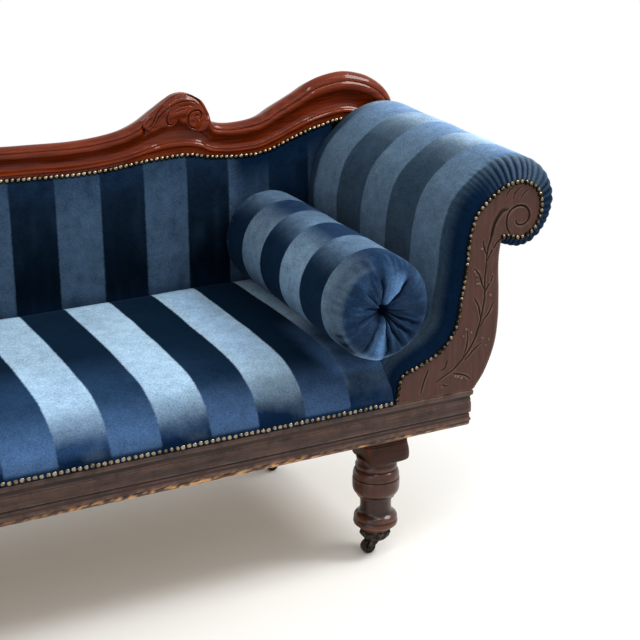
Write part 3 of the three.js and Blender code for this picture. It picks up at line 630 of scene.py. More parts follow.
seat = {
    "footX": -860,
    "headX": 581.7,
    "back": 544.7,
    "footBack": 592.5,
    "crestFootX": -700.5,
    "height": 101,
    "backRise": 13,
    "headRise": 6,
    "tuck": 16,
    "step": 9,
    # inset where the front edge ends, arm side with painted shade and highlight, stripe with a painted
    # highlight, farthest run from the nails, painted shade at the nails, and what stays still while the cover
    # settles: low, rear, head
    "front": 255.0,
    "armSide": (430, 505),
    "paintedLightStripe": (296, 318, 362, 384),
    "farRun": 400,
    "nailShade": (11, 19),
    "held": (22, 525, 570),
    "edge": ((-2.4, 0.0), (-3.0, 0.1), (-2.2, 0.2), (0.5, 0.3), (4, 0.39), (9, 0.475), (17, 0.6), (27, 0.68),
             (40, 0.755), (60, 0.83), (88, 0.892), (125, 0.937), (185, 0.972), (255, 1.0)),
    # how far from the nails the pile stands up again and the stripe tones swap back, a painted sheen; and the
    # painted sheen over the length
    "pile": ((22, 0), (38, 0.02), (46, 0.07), (54, 0.15), (62, 0.25), (70, 0.34), (80, 0.44), (90, 0.52),
             (100, 0.64), (115, 0.84), (130, 0.94), (150, 1)),
    "paintedSheen": ((-860, 0.35), (-300, 0.5), (0, 0.5), (60, 0.42), (242, 0.12), (436, 0.02), (582, 0.02)),
}


def seatHeight(x, y):
    share = (x - seat["footX"]) / (seat["headX"] - seat["footX"])
    return seat["height"] + seat["backRise"] * np.clip(y / seat["back"], 0, 1) + seat["headRise"] * share


def makeSeat():
    # Columns over the length, rows from the front edge to the back, raised from the rail by shares
    table = curveThrough(seat["edge"], np.linspace(0, 1, 56))
    inset, share = table[:, 0], np.maximum.accumulate(table[:, 1])
    edgeRows, front, base = len(inset), seat["front"], railTop + 0.5
    x = np.concatenate([seat["footX"] + inset, between(seat["footX"] + 264, seat["headX"] - 30, seat["step"]),
                        seat["headX"] - np.array([22, 16, 11, 7, 4, 2, 0.7, 0])])
    x = np.sort(np.concatenate([x, [seat["crestFootX"] - 0.6, seat["crestFootX"]]]))
    shareX = np.interp(x, np.append(seat["footX"] + inset, 9999), np.append(share, 1.0))
    shareX[:edgeRows] = share
    back = np.where(x < seat["crestFootX"] - 0.3, seat["footBack"], seat["back"])[:, None]
    far = np.concatenate([between(0.03, 0.9, 0.035), [0.93, 0.955, 0.972, 0.984, 0.992, 0.997, 1.0]])
    ys = np.concatenate([np.repeat(inset[None, :], len(x), axis=0), front + (back - front) * far], axis=1)
    xs = np.repeat(x[:, None], ys.shape[1], axis=1)
    rise = shareX[:, None] * np.concatenate([share, np.ones(len(far))])
    rise = rise * (1 + 0.05 * ripple(xs, 0, 0, 210, 5) * (1 - rise) * ease(0.02, 0.3, rise))
    fold = ripple(xs / 3, ys, 0, 120, 3) * 3 + ripple(xs, ys, 0, 60, 8)
    zs = base + rise * (seatHeight(xs, ys) + fold * ease(0.5, 0.9, rise))
    tuck = seat["tuck"]
    for away in (np.abs(back - ys), np.abs(seat["headX"] - xs)):
        drop = tuck - np.sqrt(np.maximum(tuck ** 2 - np.maximum(tuck - away, 0) ** 2, 0))
        zs = np.maximum(zs - drop * 0.8, np.minimum(zs, base))
    pinch = np.exp(-((zs - base - 16) / 12) ** 2) * fade(0.3, 0.5, rise) * ripple(xs, ys, 0, 13, 11)
    ys[:, :edgeRows] += 0.9 * pinch[:, :edgeRows]
    # near: how far over the cover from the nails along the front and the foot end
    arc = np.concatenate([[0], np.cumsum(np.hypot(np.diff(inset), np.diff(share) * seat["height"]))])
    near = np.interp(ys, inset + np.arange(edgeRows) * 1e-3, arc)
    near[:, :edgeRows] = arc
    near[:edgeRows] = np.minimum(near[:edgeRows], arc[:, None])
    near = np.minimum(near, seat["farRun"])
    # Painted light: sheen over the crown and on one stripe, highlight and shade by the arm, shade under the
    # back and along the nails, and the stripe tones swapped near the front edge as a painted sheen
    byArm = ease(*seat["armSide"], xs) * fade(150, 280, ys)
    paintedSheen = along(seat["paintedSheen"], xs) * fade(170, 340, near) * ease(15, 40, near)
    paintedSheen = paintedSheen + 0.75 * band(*seat["paintedLightStripe"], xs) * ease(110, 260, near)
    lit = 0.15 + 1.3 * ease(68, 100, near) * (1 - 0.65 * ease(150, 200, near))
    deep = byArm * (0.4 * fade(40, 95, near) + 0.3 * ease(150, 200, near)) + 0.4 * fade(0, 30, back - ys)
    piece = slab("seat_cushion", grid(xs, ys, zs), grid(xs, ys, base - 0.2), {
        "stripe": xs / couch["stripe"],
        "turned": np.maximum(1 - along(seat["pile"], near), byArm * 0.95),
        "paintedSheen": np.minimum(1, np.maximum(paintedSheen, byArm * lit)),
        "deep": np.maximum(deep, 0.92 * fade(*seat["nailShade"], near))})
    low, rear, head = seat["held"]
    settle(piece, lambda x, y, z: (z < base + low) | (y > rear) | (x > head), 2.0, 3.0)
    finishPiece(piece, ("seat_pad",), "seatVelvet")


makeSeat()
print("seat made")


# Back panel under the crest

back = {
    "footX": -690,
    "headX": 740,
    "bottom": 401,
    "face": 550,
    "rear": 571.5,
    "crown": 5,
    "step": 11,
    "edge": 60,
}

crestCurves = {
    "footX": -700, "span": 1603, "bottom": 351.3, "rise": 558.7,
    "upper": ((.004, 0), (.002, .075), (.003, .184), (.009, .251), (.028, .3), (.047, .372), (.081, .491),
              (.131, .619), (.187, .72), (.25, .791), (.318, .828), (.387, .837), (.462, .832), (.534, .83),
              (.588, .849), (.616, .878), (.644, .931), (.666, .97), (.68, .973), (.701, .947), (.715, .886),
              (.723, .85), (.744, .84), (.788, .853), (.818, .896), (.848, .938), (.879, .983), (.918, 1),
              (.95, .983), (.974, .949), (.991, .905), (.999, .859), (1, .811)),
    "lower": ((.064, 0), (.0655, .07), (.067, .184), (.069, .24), (.075, .293), (.09, .353), (.119, .454),
              (.162, .552), (.212, .628), (.268, .681), (.331, .707), (.393, .716), (.465, .713),
              (.532, .709),
              (.586, .719), (.606, .726), (.628, .733), (.652, .738), (.677, .738), (.699, .731),
              (.711, .722),
              (.72, .72), (.742, .713), (.783, .713), (.805, .726), (.833, .755), (.861, .782), (.895, .807),
              (.917, .816), (.936, .806), (.947, .782), (.953, .753), (.956, .726)),
}


def crestLine(which, shares):
    # Upper or lower edge of the crest rail in X and Z
    line = curveThrough(crestCurves[which], shares)
    return (crestCurves["footX"], crestCurves["bottom"]) + line * (crestCurves["span"], crestCurves["rise"])


def crestLowerAt(x):
    # Height of the crest's lower edge over X, along the part that faces down
    line = crestLine("lower", np.linspace(0.06, 0.93, 400))
    keep = np.concatenate([[True], np.diff(np.maximum.accumulate(line[:, 0])) > 0])
    return along(line[keep], x)


def makeBack():
    x = between(back["footX"] + 90, back["headX"], back["step"])
    footLine = crestLine("lower", np.linspace(0, 0.3, 60))
    x = np.unique(np.concatenate([np.linspace(footLine[:, 0].min() + 3, x[0] - 4, 12), x]))
    top = crestLowerAt(x)[:, None] - 0.5
    share = np.concatenate([[0, 0.01], between(0.03, 0.93, 0.03), [0.95, 0.97, 0.985, 1.0]])
    xs = np.repeat(x[:, None], len(share), axis=1)
    zs = back["bottom"] + share * np.maximum(top - back["bottom"], 3)
    fromTop = top - zs
    edge = np.clip(fromTop / back["edge"], 0, 1)
    swell = back["crown"] * np.sqrt(edge) * ease(0, back["edge"], xs - x[0])
    wave = ripple(xs, 0, zs / 2, 110, 21) * 1.6 * edge
    stroke = ripple(xs / 0.6, 0, zs / 3.2, 34, 23)
    # Painted sheen rising towards the crest and on light streaks of the pile; painted shade at the bottom,
    # under the crest, beside the arm and on dark streaks
    lit = ease(520, 700, zs) * 0.25 + 0.6 * fade(0, 70, fromTop) + 0.5 * np.clip(stroke - 0.15, 0, 1)
    deep = 0.45 * fade(462, 500, zs) + 0.55 * fade(0, 95, fromTop) + 0.7 * np.clip(-stroke - 0.2, 0, 1)
    deep = deep + 0.5 * ease(488, 520, xs) * ease(585, 640, zs)
    piece = slab("back_panel", grid(xs, back["face"] - swell - wave, zs), grid(xs, back["rear"], zs), {
        "stripe": xs / couch["stripe"], "turned": 0 * xs, "paintedSheen": lit, "deep": np.clip(deep, 0, 1)})
    finishPiece(piece, ("back_pad",), "backVelvet")


makeBack()
print("back made")


# Scrolled arm: lines of its end board in X and Z

arm = {
    "inner": ((590.3, 351.7), (592, 376), (603, 408), (642, 424), (687, 446), (721, 486), (733, 546),
              (742, 596), (749, 666), (765, 714), (792, 740), (826, 762), (861, 768.3), (897, 756),
              (913, 730),
              (913, 695.5), (895, 667), (867, 656), (840, 662), (826, 663)),
    "outer": ((823, 655), (819, 616), (822, 553), (823, 490), (816, 438), (794, 384), (771, 351.7)),
    "padThick": 47,
    "padShares": ((0, 0.18), (0.05, 0.55), (0.12, 0.93), (0.2, 1), (0.55, 1), (0.73, 0.94), (0.83, 0.9),
                  (0.9, 0.66), (0.957, 0.4), (0.985, 0.36), (1, 0.25)),
    "rearGain": 24,
    "gainShares": ((0, 0), (0.25, 0), (0.5, 1), (0.65, 1.2), (0.78, 1.3), (0.87, 1), (0.95, 0.3), (1, 0)),
    "edgeRound": 35,
    "pleats": 74,
    "pleatDepth": 4.4,
    # where along the scroll the pile turns and the stripe tones swap, a painted sheen
    "pile": ((0, 0.35), (0.3, 0.4), (0.4, 0.05), (0.6, 0), (0.64, 0.05), (0.68, 0.24), (0.72, 0.92),
             (0.765, 0.95),
             (0.785, 0.75), (0.808, 0.45), (0.835, 0.08), (1, 0)),
    # painted sheen: a pale band over the top of the scroll, where the pile is seen along its length
    "sheen": ((0.66, 0), (0.7, 0.2), (0.74, 0.75), (0.758, 1), (0.78, 0.45), (0.8, 0.05), (0.82, 0)),
}


def armInner(count):
    return smoothLine(arm["inner"], 700, count)


def armStripe(y):
    return (y - couch["stripeStart"]) / couch["stripe"] + 1


def makeArmPad():
    # Rows along the arm's inner line, columns from the gathered front edge to the back
    count, radius, rear = 620, arm["edgeRound"], couch["rear"]
    line = armInner(count)
    outX, outZ = np.hsplit(normalsOf(line), 2)
    lineX, lineZ = np.hsplit(line, 2)
    share = np.linspace(0, 1, count)[:, None]
    run = share * lengthOf(line)
    angle = np.linspace(0, quarterTurn, 16)
    y = np.concatenate([radius * (1 - np.cos(angle)) + 0.6, between(radius + 8, rear - 12, 11),
                        rear - np.array([7, 3, 1, 0])])
    lift = np.concatenate([np.sin(angle), np.ones(len(y) - 20), [0.985, 0.94, 0.86, 0.74]])
    ys = np.repeat(y[None, :], count, axis=0)
    thick = arm["padThick"] * along(arm["padShares"], share)
    gain = arm["rearGain"] * along(arm["gainShares"], share)
    height = (thick + gain * (y / rear)) * (0.05 + 0.95 * lift)
    # pleats that fan from the nails round the scroll
    phase = share * arm["pleats"] + 0.5 * ripple(run, 0, 0, 30, 31)
    fold = 1 - np.abs(2 * (phase % 1) - 1) ** 1.5
    strength = (ease(0.5, 0.62, share) * 0.92 + 0.08) * (0.75 + 0.5 * ripple(run, 0, 0, 45, 37))
    reach = fade(14, 50, ys + 12 * ripple(run, 0, 0, 16, 41))
    gathered, valley = fold * strength * reach, (1 - fold) * strength * reach
    height = height + arm["pleatDepth"] * gathered * ease(0, 6, ys)
    soft = ripple(run, ys, 0, 90, 45) * 2.2 * ease(10, 70, ys)
    height = np.maximum(height + soft * np.minimum(1, thick / 20), 0.4)
    # Painted light: stripe tones swapped where the pile turns, sheen over the scroll and on pleat ridges;
    # painted shade along the nails and front edge, in pleat valleys, under the scroll, at the foot and at the
    # back
    front, top = fade(22, 40, ys), ease(0.58, 0.7, share)
    turn = along(arm["pile"], share) + 0 * ys
    turn = turn + 0.12 * ripple(run, ys, 0, 70, 51) * (turn > 0.05)
    deep = fade(3, 24, ys) * (0.9 - 0.7 * top) + 0.22 * front * (1 - top)
    deep = deep + (1 - front) * 0.35 * fade(0.3, 0.38, share)
    deep = deep + (0.8 * valley + 0.24 * fade(10, 28, ys)) * top
    deep = deep + 0.46 * ease(0.8, 0.86, share) * (1 - front)
    deep = deep + 0.55 * ease(500, 530, ys) * (1 - 0.6 * top)
    deep = deep + 0.34 * ease(0.775, 0.83, share) * fade(20, 70, ys)
    piece = slab("arm_pad_cover", grid(lineX + outX * height, ys, lineZ + outZ * height),
                 grid(lineX, ys, lineZ), {
        "stripe": armStripe(ys),
        "turned": np.clip(turn, 0, 1) * (1 - 0.75 * front),
        "paintedSheen": along(arm["sheen"], share) * (0.04 + ease(34, 78, ys)) + 0.2 * top * gathered,
        "deep": np.clip(deep, 0, 1)}, 70)
    finishPiece(piece, ("arm_pad",), "armVelvet")


makeArmPad()
print("arm pad made")


# Wooden end board of the arm, with carved leaves running up to a scroll

facing = {
    "depth": 28,
    "grid": 1.35,
    "serration": 1.9,
    "serrationPitch": 5.2,
    "strokes": (
        (((842, 667), (835.5, 679), (833.5, 694), (837, 707), (846, 716), (858, 720.5), (870, 720),
        (881, 714),
          (887.5, 702.5), (886, 691), (877, 682.5), (866, 681), (858, 684.5), (855, 691)), 2.3, -2.8),
        (((836, 716), (823, 716), (812, 704), (804, 688), (799, 668)), 5.0, -1.5),
        (((865, 759), (852, 748), (846, 736)), 1.8, -1.5),
        (((845, 760), (835, 752), (829, 741)), 1.8, -1.5),
        (((884, 752), (872, 744), (864, 733)), 1.8, -1.4),
        (((830, 715), (820, 709), (810, 697), (802, 680), (797.5, 662), (792, 642), (789.5, 620)), 2.3, -2.4),
        (((827, 660), (815, 655), (807, 644), (797, 630), (791, 617)), 2.0, -2.0),
        (((780, 660), (782, 648), (789, 630)), 1.9, -1.8),
        (((789.5, 620), (789, 605), (787.5, 580), (788, 540), (785, 520), (781, 497.5), (775, 477.5),
          (767.5, 457.5), (755, 437.5), (740, 420), (720, 402.5), (700, 392.5), (680, 382)), 2.0, -2.3),
        (((761, 605), (772.5, 592.5), (781, 572.5), (786, 560)), 2.0, -2.0),
        (((764, 544), (772.5, 530), (777.5, 515), (780, 502.5)), 2.0, -2.0),
        (((807, 590), (800, 572), (792, 560), (787, 550)), 2.0, -2.0),
        (((810, 530), (797, 507), (787, 495), (780, 482)), 2.0, -2.0),
        (((750, 480), (751, 457), (747, 437), (742, 427)), 1.9, -1.9),
        (((784, 449), (767, 437), (755, 425), (745, 417)), 1.9, -1.9),
        (((705, 425), (700, 410), (690, 405)), 1.9, -1.7),
        (((720, 394), (735, 390), (750, 384), (760, 375)), 1.9, -1.8),
        (((695, 375), (701, 371), (707, 370)), 1.8, -1.5),
        (((661, 412), (652, 390), (647, 375), (645, 365)), 2.0, -1.8),
    ),
    "leaves": (
        ((800, 652), (812, 676), 9), ((796, 606), (806, 622), 7), ((776, 585), (768, 600), 7),
        ((775, 521), (768, 536), 7), ((798, 572), (804, 584), 6), ((798, 506), (806, 520), 7),
        ((746, 458), (748, 474), 6), ((767, 440), (780, 447), 6), ((738, 388), (752, 382), 6),
    ),
    "berries": ((777, 644), (762.5, 600), (765.5, 592.5), (768, 582.5), (769, 574), (774, 574), (803, 640),
                (799, 572), (801, 546), (805, 588), (747, 482), (740, 469), (759, 474), (787, 457),
                (801, 453),
                (795, 441), (725, 387.5), (731, 385), (739, 381), (751, 377.5), (692, 370)),
    "strokeScale": (0.84, 1.25),
    "leafRise": 1.5,
    "berryWidth": 3.0,
    "berryRise": 1.7,
}


def triangles(points, rim):
    # Delaunay triangles over points whose first ones, rim in number, are the outline
    edges = [(k, (k + 1) % rim) for k in range(rim)]
    found, _, faces, origins, _, _ = delaunay_2d_cdt([Vector(p) for p in points], edges, [], 1, 1e-4)
    return found, faces, origins


def fillOutline(ring, step):
    # Triangles over the inside of an outline in X and Z, with points about a step apart
    low, high = ring.min(axis=0), ring.max(axis=0)
    spots = np.array([(x + (0.5 * step if row % 2 else 0), z)
                      for row, z in enumerate(np.arange(low[1] + step * 0.6, high[1], step * 0.87))
                      for x in np.arange(low[0] + step * 0.6, high[0], step)])
    inside = np.zeros(len(spots), bool)
    for a, b in zip(ring, np.roll(ring, -1, axis=0)):
        crosses = (a[1] > spots[:, 1]) != (b[1] > spots[:, 1])
        at = a[0] + (spots[:, 1] - a[1]) / ((b[1] - a[1]) or 1e-9) * (b[0] - a[0])
        inside ^= crosses & (spots[:, 0] < at)
    spots = spots[inside]
    away, _ = distanceTo(spots, np.vstack([ring, ring[:1]]))
    found, faces, _ = triangles(np.vstack([ring, spots[away > step * 0.55]]), len(ring))
    return np.array([tuple(p) for p in found]), [tuple(f) for f in faces]


def carvedBoard(name, ring, step, front, back, heightAt, sharp=40):
    # Board between front and back in Y whose front face rises and falls by heightAt
    places, faces = fillOutline(ring, step)
    count, total = len(ring), len(places)
    rise, groove = heightAt(places)
    # the found point that stands on each point of the outline
    rim = [int(np.argmin(((places - p) ** 2).sum(axis=1))) for p in ring]
    bevel = front - rise[rim] + (1.2 if back > front else -0.4)
    points = np.vstack([grid(places[:, 0], front - rise, places[:, 1]), grid(ring[:, 0], bevel, ring[:, 1]),
                        grid(ring[:, 0], back, ring[:, 1])])
    for k in range(count):
        j = (k + 1) % count
        faces.append((rim[k], rim[j], total + j, total + k))
        faces.append((total + k, total + j, total + count + j, total + count + k))
    _, rearFaces, origins = triangles(ring, count)
    faces += [tuple(total + count + origins[k][0] for k in f) for f in rearFaces]
    cut = np.zeros(len(points))
    cut[:total] = np.clip(-groove / 1.4 - 0.1, 0, 1)
    return closedObject(name, points, faces, {"cut": cut}, sharp)


def darkenCuts(mesh, share=1.0):
    # Carved lines keep old polish and dust, so they count as recesses
    setLayer(mesh, "recess", np.maximum(layerOf(mesh, "recess"), layerOf(mesh, "cut") * np.float32(share)))


def facingRing():
    # Outline of the end board: the arm's inner line, then its toothed outer edge
    outer = smoothLine(arm["outer"], 200, 330)
    run = np.linspace(0, lengthOf(outer), len(outer))[:, None]
    tooth = np.abs(2 * ((run / facing["serrationPitch"]) % 1) - 1) - 0.5
    outer = outer + normalsOf(outer) * tooth * facing["serration"]
    return np.vstack([armInner(330), outer[1:]])


def facingHeight(places):
    wide, deep = facing["strokeScale"]
    groove = carve(places, [(line, wide * width, deep * depth) for line, width, depth in facing["strokes"]])
    height = groove.copy()
    for start, tip, width in facing["leaves"]:
        away, share = distanceTo(places, (start, tip))
        swell = np.sin(np.pi * np.clip(share, 0, 1)).clip(0, 1) ** 0.5
        height += facing["leafRise"] * np.exp(-(away / width) ** 2) * (0.4 + 0.6 * swell)
    for berry in facing["berries"]:
        away = np.linalg.norm(places - np.array(berry), axis=1)
        height += facing["berryRise"] * np.sqrt(np.clip(1 - (away / facing["berryWidth"]) ** 2, 0, 1))
    away, _ = distanceTo(places, curveThrough(arm["outer"], np.linspace(0, 1, 80)))
    height -= 1.5 * fade(0, 5, away)
    return height + 0.35 * ripple(places[:, 0], 0, places[:, 1], 26, 61), groove


def makeFacing():
    piece = carvedBoard("arm_facing_carved", facingRing(), facing["grid"], 0.0, facing["depth"], facingHeight)
    markWear(piece, 2, 1.1, "upright")
    darkenCuts(piece.data)
    x, y, z = (pointsOf(piece.data) * metre - origin).T
    edge = layerOf(piece.data, "edge")
    for berryX, berryZ in facing["berries"]:
        edge[(np.abs(x - berryX) < 2.4) & (np.abs(z - berryZ) < 2.4) & (y < 3)] = 1.0
    setLayer(piece.data, "edge", edge)
    finishPiece(piece, ("arm_facing",), "carvedWood")


makeFacing()
print("facing made")


# Crest rail: a moulded sweep with a carved scroll where the back steps down

crest = {
    "face": 545,
    "thick": 52,
    "rear": 597,
    "rearShare": 0.88,
    "section": ((0, 0.12), (0.1, 0.11), (0.135, 0.1), (0.145, 0.055), (0.165, 0.03), (0.2, 0.03),
                (0.22, 0.06),
                (0.235, 0.15), (0.27, 0.2), (0.33, 0.235), (0.4, 0.24), (0.48, 0.21), (0.55, 0.15),
                (0.61, 0.075), (0.635, 0.03), (0.655, 0.0), (0.69, -0.02), (0.73, -0.025), (0.77, -0.01),
                (0.8, 0.03), (0.815, 0.06), (0.83, 0.045), (0.87, 0.06), (0.92, 0.12), (0.96, 0.2),
                (0.985, 0.28), (1.0, 0.38)),
    "lobe": (292, 446),
    "lobeFloor": ((290, 806), (342, 832), (372, 842), (392, 838), (405, 819), (425, 817), (445, 828),
                  (470, 832)),
    "plaqueInset": 0.7,
    "plaqueFall": 8,
    "under": ((445.6, 838), (445, 826), (438, 817), (430, 813), (422, 811), (414, 811), (406, 813),
              (399.5, 818),
              (394, 826), (390, 831), (383, 832.5), (377, 837), (372.5, 841), (367.5, 834), (360, 829),
              (350, 826),
              (341, 827), (330, 825), (318, 820), (308, 820), (300, 826), (294, 834), (293, 843)),
    "strokes": (
        (((297, 836), (303, 842), (318, 851)), 2.2, -2.0),
        (((300, 850), (320, 862), (350, 884), (370, 893), (385, 895), (402, 890), (418, 880), (428, 866),
          (436, 850), (438, 838)), 2.2, -2.6),
        (((343, 865), (352, 868), (370, 876), (390, 879), (408, 876), (420, 866)), 2.0, -2.2),
        (((305, 830), (313, 836), (319, 847), (326, 858), (342, 873)), 2.2, -2.4),
        (((320, 834), (327, 848), (340, 860), (352, 866)), 2.2, -2.4),
        (((420, 837), (424, 842), (425, 850), (420, 856), (411, 857.5), (402, 855), (396, 849), (394, 840),
          (395, 831), (400, 824), (409, 819)), 2.4, -2.8),
        (((411, 838), (409, 844), (413, 848), (418, 845)), 2.0, -2.0),
        (((352, 858), (347, 850), (346, 841), (349, 834), (356, 832), (364, 838)), 2.1, -2.4),
        (((365, 864), (380, 869), (396, 870), (408, 866)), 1.7, -1.6),
        (((368, 858), (380, 862), (390, 862)), 1.6, -1.4),
    ),
    "beads": (
        (((316, 868), (350, 890), (375, 899), (390, 899), (412, 892), (428, 875), (440, 850)), 4.2, 2.2),
        (((355, 848), (372, 854), (386, 856)), 9.0, 2.4),
        (((407, 840), (411, 834), (408, 828)), 9.0, 2.2),
    ),
}


def makeCrest():
    # Columns closer together along the carved scroll, rows over the moulded section
    dense = np.linspace(0, 1, 2400)
    upper, lower = crestLine("upper", dense), crestLine("lower", dense)
    middle = 0.5 * (upper[:, 0] + lower[:, 0])
    weight = 1 + 2.2 * (ease(275, 300, middle) - ease(455, 480, middle))
    step = np.linalg.norm(np.diff(upper + lower, axis=0), axis=1) / 2
    pace = np.concatenate([[0], np.cumsum(step * weight[1:])])
    at = np.interp(np.linspace(0, pace[-1], 560), pace, np.arange(len(dense)))
    pick = np.stack([np.interp(at, np.arange(len(dense)), v) for v in (*upper.T, *lower.T)], axis=1)
    lower, across = pick[:, None, 2:], (pick[:, :2] - pick[:, 2:])[:, None]
    table = np.array(crest["section"])
    width = np.unique(np.concatenate([table[:, 0], between(0.13, 0.99, 0.018)]))
    xs, zs = np.moveaxis(lower + across * width[:, None], -1, 0)
    ys = crest["face"] + along(table, width) * crest["thick"] + 0 * xs
    low, high = crest["lobe"]
    floorAt = along(crest["lobeFloor"], xs)
    above = ease(floorAt - 2, floorAt + 3, zs) * band(low - 4, low + 10, high - 10, high, xs)
    ys = ys * (1 - above) + np.maximum(ys, crest["face"] + 9) * above
    rearX, rearZ = np.moveaxis(lower + across * (width * crest["rearShare"])[:, None], -1, 0)
    piece = slab("crest_rail_carved", grid(xs, ys, zs), grid(rearX, crest["rear"], rearZ), None, 50)
    markWear(piece, 2, 1.3)
    finishPiece(piece, ("crest_rail",), "polishedWood")


def plaqueEdges():
    # Outline of the carved scroll: along the crest's top, then back under its lobes
    upper = crestLine("upper", np.linspace(0.4, 0.8, 1500))
    keep = (upper[:, 0] > crest["lobe"][0]) & (upper[:, 0] < 445.5) & (upper[:, 1] > 838)
    top = evenly(upper[keep] - normalsOf(upper)[keep] * crest["plaqueInset"], 130)
    return top, smoothLine(crest["under"], 240, 150)


def plaqueHeight(places):
    top, under = plaqueEdges()
    height = -crest["plaqueFall"] * fade(0, 15, distanceTo(places, top)[0]) ** 1.5
    height = height - 1.6 * fade(0, 3.2, distanceTo(places, under)[0])
    groove = carve(places, [(points, 0.66 * width, depth) for points, width, depth in crest["strokes"]], 0.3)
    height += groove
    for points, wide, rise in crest["beads"]:
        away, _ = distanceTo(places, curveThrough(points, np.linspace(0, 1, 30)))
        height += rise * np.exp(-(away / wide) ** 2)
    return height, groove


def makePlaque():
    piece = carvedBoard("crest_scroll_carved", np.vstack(plaqueEdges()), 1.1, crest["face"] - 2.5,
                        crest["face"] + 22, plaqueHeight)
    markWear(piece, 2, 0.8)
    darkenCuts(piece.data, 0.8)
    finishPiece(piece, (), "polishedWood")


makeCrest()
makePlaque()
print("crest made")


# Seat rails

rail = {
    "section": ((351, 3.5), (350.4, 1.2), (349, 0.2), (345, 0), (341.5, 0.2), (340, 0.8), (338.6, 2.4),
                (336.5, 4.2),
                (334.5, 4.6), (332, 4.1), (329, 3.5), (327.8, 3.6), (327, 4.5), (326.2, 3.5), (322, 2.8),
                (314, 2.4),
                (306, 2.5), (302.5, 2.9), (301, 4.2), (299.5, 6), (298, 5.4), (297, 4.7), (293, 4.6),
                (290.5, 4.3),
                (289.5, 3.2), (287.5, 2.5), (285, 2.6), (283.2, 3.4), (282.4, 4.6), (280, 4.3), (276.5, 4.6),
                (274.5, 5.6), (273, 7.2), (272.1, 10)),
    "thick": 34,
    "endSpan": (34.3, 565.7),
    "endChips": 0.25,
    "step": 7,
    "footX": -860,
    "headX": 770,
    "chips": ((-860, 0.3), (-120, 0.35), (-60, 0.9), (440, 0.95), (480, 0.3), (770, 0.25)),
}


def railPiece(name, axis, low, high, face, side, node):
    # Moulded rail along X (axis 0) or Y (axis 1); side is the sign of the way its face looks
    z, depth = np.hsplit(np.array(rail["section"]), 2)
    runs = np.repeat(between(low, high, rail["step"])[None, :], len(z), axis=0)
    chips = rail["endChips"]
    if axis == 0:
        # the moulding returns round both corners
        runs[:, :1] = low + depth
        runs[:, 1:2] = np.maximum(runs[:, 1:2], low + depth + 1)
        runs[:, -1:] = high - depth
        runs[:, -2:-1] = np.minimum(runs[:, -2:-1], high - depth - 1)
        chips = along(rail["chips"], runs)
    wear = ripple(runs, 0, 3 * z, 38, 71) * 0.35
    nick = ease(0.34, 0.5, ripple(runs, 0, 3.5 * z, 17, 73)) * fade(274, 281, z)
    flake = ease(-0.05, 0.25, ripple(runs, 0, 2.2 * z, 11, 75))
    bare = np.clip(nick * 0.9 + chips * flake * fade(275, 288, z), 0, 1)
    outer, inner = (grid(runs, y, z) if axis == 0 else grid(y, runs, z)
                    for y in (face - side * (depth + wear + nick * 1.6), face - side * rail["thick"]))
    piece = slab(name, outer, inner, {"bare": bare}, 50)
    markWear(piece, 1, 1.1, "sideways" if axis else None)
    finishPiece(piece, (node,), "wornWood")


railPiece("front_rail_moulded", 0, rail["footX"], rail["headX"], 0.0, -1, "front_seat_rail")
railPiece("foot_rail_moulded", 1, *rail["endSpan"], rail["footX"], -1, "foot_end_rail")
railPiece("head_rail_moulded", 1, *rail["endSpan"], rail["headX"], 1, "head_end_rail")
print("rails made")


# Bolster: a velvet roll whose ends are gathered to a sunk centre

bolster = {
    "radius": 103,
    "frontY": -41,
    "rearY": 543,
    "frontX": 541,
    "rearX": 567,
    "frontZ": 562.6,
    "rearZ": 572.4,
    "rim": 34,
    "sink": 34,
    "sinkShares": ((0, 1), (6, 0.93), (14, 0.62), (26, 0.36), (45, 0.17), (65, 0.07), (69, 0)),
    "held": (70, 22, 60),
    "sides": 320,
    # folds on the ends: angle, twist, half width in degrees, height, from and to radius, brightness: painted
    # sheen above nought and painted shade below, and which side drops sharply: 1 clockwise, -1 the other way,
    # 0 neither
    "folds": ((77, -6, 24, 12, 6, 84, 0.95, 1), (22, 8, 26, 7, 8, 88, -0.12, 0),
              (256, -4, 17, 11, 6, 104, 0.95, -1),
              (222, 0, 13, 6, 14, 98, -0.25, -1), (281, 7, 10, 6, 10, 92, 0.2, -1),
              (301, 9, 8, 6, 8, 80, 0.12, -1),
              (322, 9, 10, 6, 8, 90, 0.06, -1), (346, 6, 12, 5, 8, 88, 0.0, -1),
              (118, -6, 15, 6, 9, 80, 0.04, 1),
              (148, -8, 14, 6, 9, 82, 0.0, 1), (178, -6, 14, 6, 9, 88, 0.0, 1),
              (201, -2, 9, 5, 9, 92, 0.05, 1),
              (146, 0, 26, 6, 5, 24, 0.7, 0), (52, 6, 5, -6, 8, 84, -0.7, 0),
              (270, -2, 5, -7, 8, 100, -0.8, 0),
              (237, -3, 4, -4, 12, 96, -0.5, 0), (292, 8, 4, -5, 10, 88, -0.5, 0),
              (312, 9, 4, -5, 10, 80, -0.4, 0),
              (334, 8, 4, -4, 10, 84, -0.35, 0), (101, -6, 5, -5, 10, 78, -0.5, 0),
              (133, -6, 4, -2.5, 10, 60, -0.2, 0),
              (163, -6, 4, -3, 10, 52, -0.25, 0), (191, -4, 5, -2, 10, 84, -0.15, 0)),
    "stripeFrom": 40,
}


def roundRoll(angle, reach, third):
    return np.cos(angle) * reach, np.sin(angle) * reach, third


